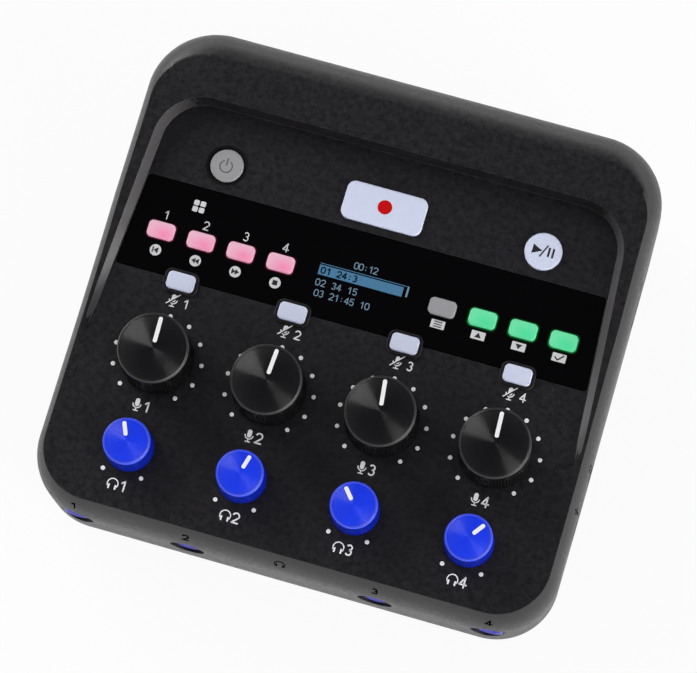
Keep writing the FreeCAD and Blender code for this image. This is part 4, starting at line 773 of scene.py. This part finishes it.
def rounded_outline(x, y, width, depth, radius):
    """Corners of a rounded box, one after another anticlockwise."""
    outline = []
    for quarter, (side, end) in enumerate(((1, 1), (-1, 1), (-1, -1), (1, -1))):
        for step in range(5):
            turn = math.radians(90 * quarter + 22.5 * step)
            outline.append((x + side * (width / 2 - radius) + radius * math.cos(turn),
                            y + end * (depth / 2 - radius) + radius * math.sin(turn)))
    return outline


def microphone(drawing, x, y):
    drawing.rounded_box(x, y + 0.6, 1.05, 1.9, 0.5)
    drawing.arc(x, y + 0.25, 0.95, 0.25, 180, 360, 12)
    drawing.stroke((x, y - 0.65), (x, y - 1.3), 0.26)
    drawing.stroke((x - 0.6, y - 1.35), (x + 0.6, y - 1.35), 0.26)


def headphones(drawing, x, y):
    drawing.arc(x, y, 1.24, 0.26, -32, 212, 20)
    for side in (-1, 1):
        drawing.rounded_box(x + side * 0.78, y - 0.72, 0.42, 1.15, 0.18)


gain_sign_row, volume_sign_row, mute_sign_row = -13.0, -32.2, 12.9
sign_height, mute_sign_height, sign_weight = 2.7, 2.3, 0.14
signs = Print("channel_signs", white_ink)
crossings = Print("gaps_beside_slashes", shell_plastic, 2)
slashes = Print("slashes_over_microphones", white_ink, 3)
for number, x in enumerate(channel_columns, start=1):
    microphone(signs, x - 1.4, gain_sign_row + 1.3)
    signs.numerals(str(number), x + 0.95, gain_sign_row, sign_height, weight=sign_weight)
    headphones(signs, x - 1.35, volume_sign_row + 1.3)
    signs.numerals(str(number), x + 1.15, volume_sign_row, sign_height, weight=sign_weight)
    microphone(signs, x - 0.5, mute_sign_row + 1.2)
    signs.numerals(str(number), x + 2.6, mute_sign_row, mute_sign_height, weight=sign_weight)
    crossings.stroke((x - 1.9, mute_sign_row), (x + 1.0, mute_sign_row + 2.9), 0.5)
    slashes.stroke((x - 2.0, mute_sign_row + 0.2), (x + 0.9, mute_sign_row + 3.1), 0.26)
for drawing in (signs, crossings, slashes):
    drawing.finished()


# The strip is printed in a greyer white: four squares and a number over each pad, round badges with
# dark transport signs below the pads, and badges with a list, arrows and a tick on the right.
strip_signs = Print("strip_signs", ink("strip_ink", (0.72, 0.72, 0.72)))
dark_ink = ink("dark_ink", (0.01, 0.01, 0.012))
strip_marks = Print("strip_marks", dark_ink, 2)
pad_columns = [-48.5, -38.83, -29.16, -19.5]
function_columns = [19.5, 29.16, 38.83, 48.5]
pad_number_row, pad_badge_row, function_badge_row = 32.2, 24.6, 25.35
squares_column, squares_row, square_offset, square_width = -41.7, 37.3, 0.78, 1.28
for number, x in enumerate(pad_columns, start=1):
    strip_signs.numerals(str(number), x + 0.1, pad_number_row, 2.2, weight=0.12)
    strip_signs.disc(x, pad_badge_row, 1.35)
for x in function_columns:
    strip_signs.rounded_box(x, function_badge_row, 3.3, 2.0, 0.15)
for column in (-square_offset, square_offset):
    for row in (-square_offset, square_offset):
        strip_signs.rounded_box(squares_column + column, squares_row + row, square_width, square_width, 0.3)


def arrow(x, y, length, half_width, along):
    """A dark triangle with the middle of its base at a point, which points along a unit direction."""
    across = (-along[1] * half_width, along[0] * half_width)
    strip_marks.fill([(x - across[0], y - across[1]), (x + along[0] * length, y + along[1] * length),
                      (x + across[0], y + across[1])])


to_start, backwards, forwards, stop = pad_columns
listed, upwards, downwards, ticked = function_columns
left, right, up, down = (-1, 0), (1, 0), (0, 1), (0, -1)
arrow(to_start + 0.6, pad_badge_row, 1.05, 0.75, left)
strip_marks.box(to_start - 0.65, pad_badge_row, 0.3, 1.4)
for shift in (0.0, 0.85):
    arrow(backwards + shift, pad_badge_row, 0.95, 0.7, left)
    arrow(forwards - shift, pad_badge_row, 0.95, 0.7, right)
strip_marks.rounded_box(stop, pad_badge_row, 1.15, 1.15, 0.08)
for row in (-0.58, 0.0, 0.58):
    strip_marks.box(listed, function_badge_row + row, 1.9, 0.26)
arrow(upwards, function_badge_row - 0.55, 1.2, 0.8, up)
arrow(downwards, function_badge_row + 0.55, 1.2, 0.8, down)
strip_marks.line([(ticked - 0.95, function_badge_row), (ticked - 0.25, function_badge_row - 0.62),
                  (ticked + 1.0, function_badge_row + 0.62)], 0.32)
strip_signs.finished()
strip_marks.finished()


# Numbers and a headphone sign are sunk into the front flank over the jacks, and a handset and a data
# plug into the right flank over the two ports. They are matt black, so they show by their dullness.
shell_surface = BVHTree.FromPolygons([point.co for point in upper.data.vertices],
                                     [face.vertices for face in upper.data.polygons])
sunk_black = ink("sunk_black", (0.002, 0.002, 0.002), gloss=0.0)
outside, over_shell = 0.01, 0.06 * mm


def sunk_sign(name, start, across, inward):
    """A drawing, and the rule that lays it on the shell along straight lines from beside it."""

    def lay(x, y):
        beside = start + across * x * mm + Vector((0, 0, y * mm))
        place, normal, _, _ = shell_surface.ray_cast(beside, inward)
        return place + normal * over_shell

    return Print(name, sunk_black), lay


def sign_in_front(name, x):
    start = Vector((x, cad_box[0].y - outside, 0.0216))
    return sunk_sign(name, start, panel_right, Vector((0, 1, 0)))


def sign_on_right(name, port):
    start = Vector((cad_box[1].x + outside, mounts[port]["pos_m"][1], 0.0253))
    return sunk_sign(name, start, Vector((0, 1, 0)), Vector((-1, 0, 0)))


for number, jack_place in enumerate(jack_places, start=1):
    drawing, lay = sign_in_front(f"sunk_number_{number}", jack_place.x)
    drawing.numeral(str(number), 0, -1.3, 2.6, 0.15)
    drawing.finished(lay)
drawing, lay = sign_in_front("sunk_headphones", 0)
headphones(drawing, 0, 0)
drawing.finished(lay)
handset, lay = sign_on_right("sunk_sign_of_phone", "phone")
for side in (-1, 1):
    handset.stroke((side * 0.65, -1.25), (side * 0.65, 1.25), 0.22)
    handset.stroke((-0.65, side * 1.25), (0.65, side * 1.25), 0.22)
handset.box(0, -0.85, 0.35, 0.22)
handset.finished(lay)
data_plug, lay = sign_on_right("sunk_sign_of_usb", "usb")
data_plug.stroke((0, -1.3), (0, 1.2), 0.22)
data_plug.disc(0, -1.2, 0.36, 12)
data_plug.line([(0, -0.5), (0.7, 0.1), (0.7, 0.5)], 0.2)
data_plug.line([(0, -0.1), (-0.7, 0.4), (-0.7, 0.75)], 0.2)
data_plug.fill([(-0.35, 1.0), (0.35, 1.0), (0, 1.6)])
data_plug.finished(lay)


# The lamps of the pads and of the green buttons spill a little light over the strip round them.
def spill(name, x, reach, finish):
    """A band on the strip round a button, whose pattern runs from 1 at the button to 0 outside."""
    inner = rounded_outline(x, button_row, button_width, button_depth, 0.9)
    outer = rounded_outline(x, button_row, button_width + 2 * reach, button_depth + 2 * reach, 0.9 + reach)
    count = len(inner)
    mesh = bpy.data.meshes.new(name)
    points = [panel_mm @ Vector((px, py, 0.015)) for px, py in inner + outer]
    bands = [(k, count + k, count + (k + 1) % count, (k + 1) % count) for k in range(count)]
    mesh.from_pydata(points, [], bands)
    pattern = mesh.uv_layers.new(name="pattern")
    for loop in mesh.loops:
        pattern.data[loop.index].uv = (0, 1 if loop.vertex_index < count else 0)
    mesh.materials.append(finish)
    keep(bpy.data.objects.new(name, mesh), "case")


button_row, button_width, button_depth = 29.35, 6.4, 4.0
pink_spill = gloss_black("pink_spill", (0.1, 0.012, 0.03))
green_spill = gloss_black("green_spill", (0.003, 0.22, 0.03))
for number, x in enumerate(pad_columns, start=1):
    spill(f"spill_of_pad_{number}", x, 0.5, pink_spill)
for number, x in enumerate(function_columns[1:], start=1):
    spill(f"spill_of_green_{number}", x, 0.55, green_spill)


# The display's own light is pale blue. It shows a counter, a bright bar with dark numbers, two more
# rows of plain numbers and a short scroll mark.
bar_middle, bar_row, line_row = -0.5, 30.5, 32.05
row_height, row_pitch, row_weight = 1.7, 0.75, 0.12
bar = Print("display_bar", ink("display_bar_light", (0.041, 0.134, 0.235), 0.45))
bar.box(bar_middle, bar_row, 20.2, 2.35)
bar.box(0.15, line_row, 21.5, 0.16)
bar.finished()
rows = Print("display_rows", ink("display_row_light", (0.12, 0.2, 0.27), 0.45))
rows.numerals("00:12", -0.1, 32.75, row_height, weight=row_weight)
rows.numerals("02 34 15", -5.5, 26.65, row_height, row_pitch, row_weight)
rows.numerals("03 21:45 10", -3.5, 24.1, row_height, 0.72, row_weight)
rows.box(10.65, 30.8, 0.42, 2.5)
rows.finished()
bar_digits = Print("display_bar_digits", ink("unlit_digits", (0.002, 0.006, 0.011), gloss=0.0), 2)
bar_digits.numerals("01 24:3", -5.7, 29.65, row_height, row_pitch, 0.17)
bar_digits.finished()


# The caps of the buttons are moulded in white, grey and clear tinted plastic. A lamp under each tinted
# cap makes its colour stronger a little right of and in front of its middle, and the paler colour towards
# the back left is a painted highlight.
def lit_cap(name, colour, middle, glow):
    finish = Finish(name)
    x, y, _ = finish.pattern()
    # The glow's middle is set right of and in front of the cap's middle, so the paler colour towards the back
    # left is a painted highlight. The glow itself comes from the lamp under the cap.
    aside, low = x - 0.25, y + 0.35
    near = (1.0 - (aside * aside + low * low) ** 0.5).over(0.0)
    lit_colour = finish.blend(near, colour, middle)
    finish.set(Base_Color=lit_colour, Roughness=0.4 + finish.noise(500) * 0.08, Emission_Color=lit_colour,
               Emission_Strength=glow, Normal=finish.bump(finish.noise(2200), 0.002, 0.2))
    return finish.material


def draw_pattern(piece):
    """The piece's pattern runs from -1 to 1 across it, along the panel."""
    flat = [(onto_panel @ point.co).xy / mm for point in piece.data.vertices]
    low = Vector((min(point.x for point in flat), min(point.y for point in flat)))
    high = Vector((max(point.x for point in flat), max(point.y for point in flat)))
    pattern = piece.data.uv_layers.new(name="pattern")
    for loop in piece.data.loops:
        point = (flat[loop.vertex_index] - (low + high) / 2) * 2
        pattern.data[loop.index].uv = (point.x / (high - low).x, point.y / (high - low).y)


white_cap = tinted_plastic("bluish_white_plastic", (0.7, 0.75, 0.92), 0.4)
grey_cap = tinted_plastic("grey_plastic", (0.34, 0.34, 0.35), 0.45)
pink_cap = lit_cap("lit_pink_plastic", (0.76, 0.42, 0.53), (0.84, 0.23, 0.41), 0.2)
green_cap = lit_cap("lit_green_plastic", (0.13, 0.65, 0.33), (0.06, 0.62, 0.28), 0.25)
caps = {"record_button": white_cap, "play_button": white_cap, "power_button": grey_cap}
caps["menu_button"] = grey_cap
caps.update({f"mute_button_{number}": white_cap for number in channels})
caps.update({f"sound_pad_{letter}": pink_cap for letter in "abcd"})
caps.update({f"{name}_button": green_cap for name in ("tone", "comp", "noise")})
cap_tops = {}
for node, finish in caps.items():
    cap = smooth_copy(node, finish, f"cap_of_{node}")
    draw_pattern(cap)
    cap_tops[node] = max((onto_panel @ point.co).z for point in cap.data.vertices) / mm


# The recording dot and the play and pause sign are printed on their caps, and the power sign is
# engraved in grey. Each rides down with its button.
record_dot = Print("record_dot", ink("red_ink", (0.6, 0.001, 0.003), gloss=0.15))
record_dot.disc(0.1, 48.6, 1.7, 40)
play_sign = Print("play_sign", dark_ink)
play_sign.fill([(35.7, 47.35), (38.0, 48.5), (35.7, 49.65)])
play_sign.stroke((37.7, 47.0), (39.1, 50.1), 0.32)
for x in (39.6, 40.6):
    play_sign.box(x, 48.5, 0.46, 2.3)
power_sign = Print("power_sign", ink("grey_engraving", (0.1, 0.1, 0.105)))
power_sign.arc(power_place.x, 48.2, 1.45, 0.26, -240, 60, 36)
power_sign.stroke((power_place.x, 48.4), (power_place.x, 50.2), 0.26)
for sign, node in ((record_dot, "record_button"), (play_sign, "play_button"), (power_sign, "power_button")):
    sign.height += cap_tops[node]
    sign.finished(body=body_of(node))


# Four large black knobs and four small blue ones are moulded with ribs and pressed onto steel shafts.
# Their tops are turned with a fine spiral groove, whose flanks throw the lamps' light into two opposite
# fans, and a white pointer is let into each.
def spun_top(name, colour, roughness, gloss):
    """The grooves are too fine to see one by one, so they only lean the surface in and out."""
    finish = Finish(name)
    groove_pitch, steepness = 0.16, 0.42
    x, y, _ = finish.pattern()
    reach = ((x * x + y * y) ** 0.5).over(0.1)
    lean = (reach * (math.tau / groove_pitch)).wave() * (steepness / 2) / reach
    leaning = finish.node("ShaderNodeCombineXYZ", {}, {"X": x * lean + 0.5, "Y": y * lean + 0.5, "Z": 1.0})
    haze = finish.noise(900)
    finish.set(Base_Color=finish.blend(haze, [part * 0.85 for part in colour], colour),
               Roughness=roughness + haze * 0.05, Specular_IOR_Level=gloss,
               Normal=finish.node("ShaderNodeNormalMap", {"uv_map": "pattern"}, {"Color": leaning}, "Normal"))
    return finish.material


class Knob:
    """One size of knob, in millimetres, with its side's, its edge's and its top's finish. The edge's colour
    is lighter, a painted highlight, and the side's is darker, painted shade.
    """

    def __init__(self, finishes, height, top_radius, base_radius, pointer_from, ribs):
        self.finishes = finishes
        self.height = height
        self.top_radius = top_radius
        self.pointer_from = pointer_from
        self.rib_count, self.rib_width, self.rib_rise, self.rib_top = ribs
        self.skirt = base_radius - self.rib_rise
        self.shoulder = top_radius + 0.3 - self.rib_rise

    def body(self, name, place):
        """The turned body: its side leans in to the shoulder, and a fine rim stands round its top."""
        height, top_radius, skirt = self.height, self.top_radius, self.skirt
        points, faces = lathe([
            (0, 0.5), (skirt - 0.6, 0.5), (skirt - 0.1, 0.42), (skirt, 0.6), (self.shoulder, height - 0.75),
            (top_radius + 0.2, height - 0.5), (top_radius + 0.1, height - 0.14), (top_radius - 0.05, height),
            (top_radius - 0.25, height), (top_radius - 0.4, height - 0.12),
            (top_radius - 0.6, height - 0.04), (0, height - 0.04),
        ])
        piece = piece_of(name, points, faces, self.finishes, place)
        for face in piece.data.polygons:
            corners = [points[corner] for corner in face.vertices]
            reach = max(math.hypot(x, y) for x, y, z in corners)
            if min(z for x, y, z in corners) > height - 0.6:
                # The rim's faces take the edge's lighter colour, a painted highlight.
                face.material_index = 1 if reach > top_radius - 0.3 else 2
        return piece

    def ribs(self, name, place):
        """One rounded rib that dies away at its top, in copies round the side."""
        across = (-1.0, -0.5, 0.0, 0.5, 1.0)
        under_top = self.skirt + (self.shoulder - self.skirt) * self.rib_top / self.height
        rows = ((0.6, self.skirt, self.rib_rise), (self.rib_top - 0.35, under_top, self.rib_rise),
                (self.rib_top, self.shoulder - 0.1, 0))
        points = []
        for z, radius, rise in rows:
            points += [(self.rib_width / 2 * share, -(radius - 0.02 + rise * (1 - share * share)), z)
                       for share in across]
        faces = [(row * 5 + k, row * 5 + k + 1, row * 5 + k + 6, row * 5 + k + 5)
                 for row in (0, 1) for k in range(4)]
        piece = piece_of(name, points, faces, self.finishes[:1], Matrix(), sharp_above=60)
        turned(piece, self.rib_count, 0, math.tau / self.rib_count, self.finishes[0])
        piece.data.transform(place)
        return piece

    def pointer(self, name, aim, body):
        drawing = Print(name, white_ink)
        reach = self.top_radius - 0.7
        middle = (self.pointer_from + reach) / 2
        drawing.rounded_box(0, middle, 0.95, reach - self.pointer_from, 0.4)
        drawing.finished(lambda x, y: aim @ Vector((x, y, self.height)), body)

    def made(self, turn, node):
        """The knob in its place, with its pointer at the knob's rest angle."""
        low, high = turn["range_deg"]
        rest = math.radians((low + high) / 2)
        place = Matrix.Translation(Vector(turn["pos_m"])) @ panel_axes @ Matrix.Scale(mm, 4)
        body = keep(self.body(f"turned_{node}", place), body_of(node))
        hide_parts(node)
        keep(self.ribs(f"ribs_of_{node}", place), body_of(node))
        self.pointer(f"pointer_of_{node}", place @ Matrix.Rotation(-rest, 4, "Z"), body_of(node))


# The edge colours are painted lighter than the rest of each knob, a painted highlight on the rim. The side
# colours are darker, painted shade.
gain_finishes = [tinted_plastic("knob_black", (0.001, 0.001, 0.0014), 0.35, gloss=0.2),
                 tinted_plastic("knob_black_edge", (0.006, 0.006, 0.0065), 0.3, gloss=0.9),
                 spun_top("spun_black_top", (0.003, 0.003, 0.0036), 0.2, 0.38)]
volume_finishes = [tinted_plastic("royal_blue_plastic", (0.001, 0.012, 0.3), 0.35, gloss=0.12),
                   tinted_plastic("royal_blue_edge", (0.03, 0.07, 0.8), 0.35, gloss=0.8),
                   spun_top("spun_blue_top", (0.005, 0.042, 0.9), 0.3, 0.4)]
gain_knob = Knob(gain_finishes, height=11.5, top_radius=8.1, base_radius=8.6, pointer_from=1.3,
                 ribs=(72, 0.5, 0.2, 8.6))
volume_knob = Knob(volume_finishes, height=8.2, top_radius=5.3, base_radius=5.8, pointer_from=1.2,
                   ribs=(54, 0.45, 0.16, 4.4))
for number, (gain_turn, volume_turn) in enumerate(zip(gain_turns, volume_turns), start=1):
    gain_knob.made(gain_turn, f"gain_knob_{number}")
    volume_knob.made(volume_turn, f"volume_knob_{number}")
    coat(steel, f"gain_shaft_{number}", f"volume_shaft_{number}")
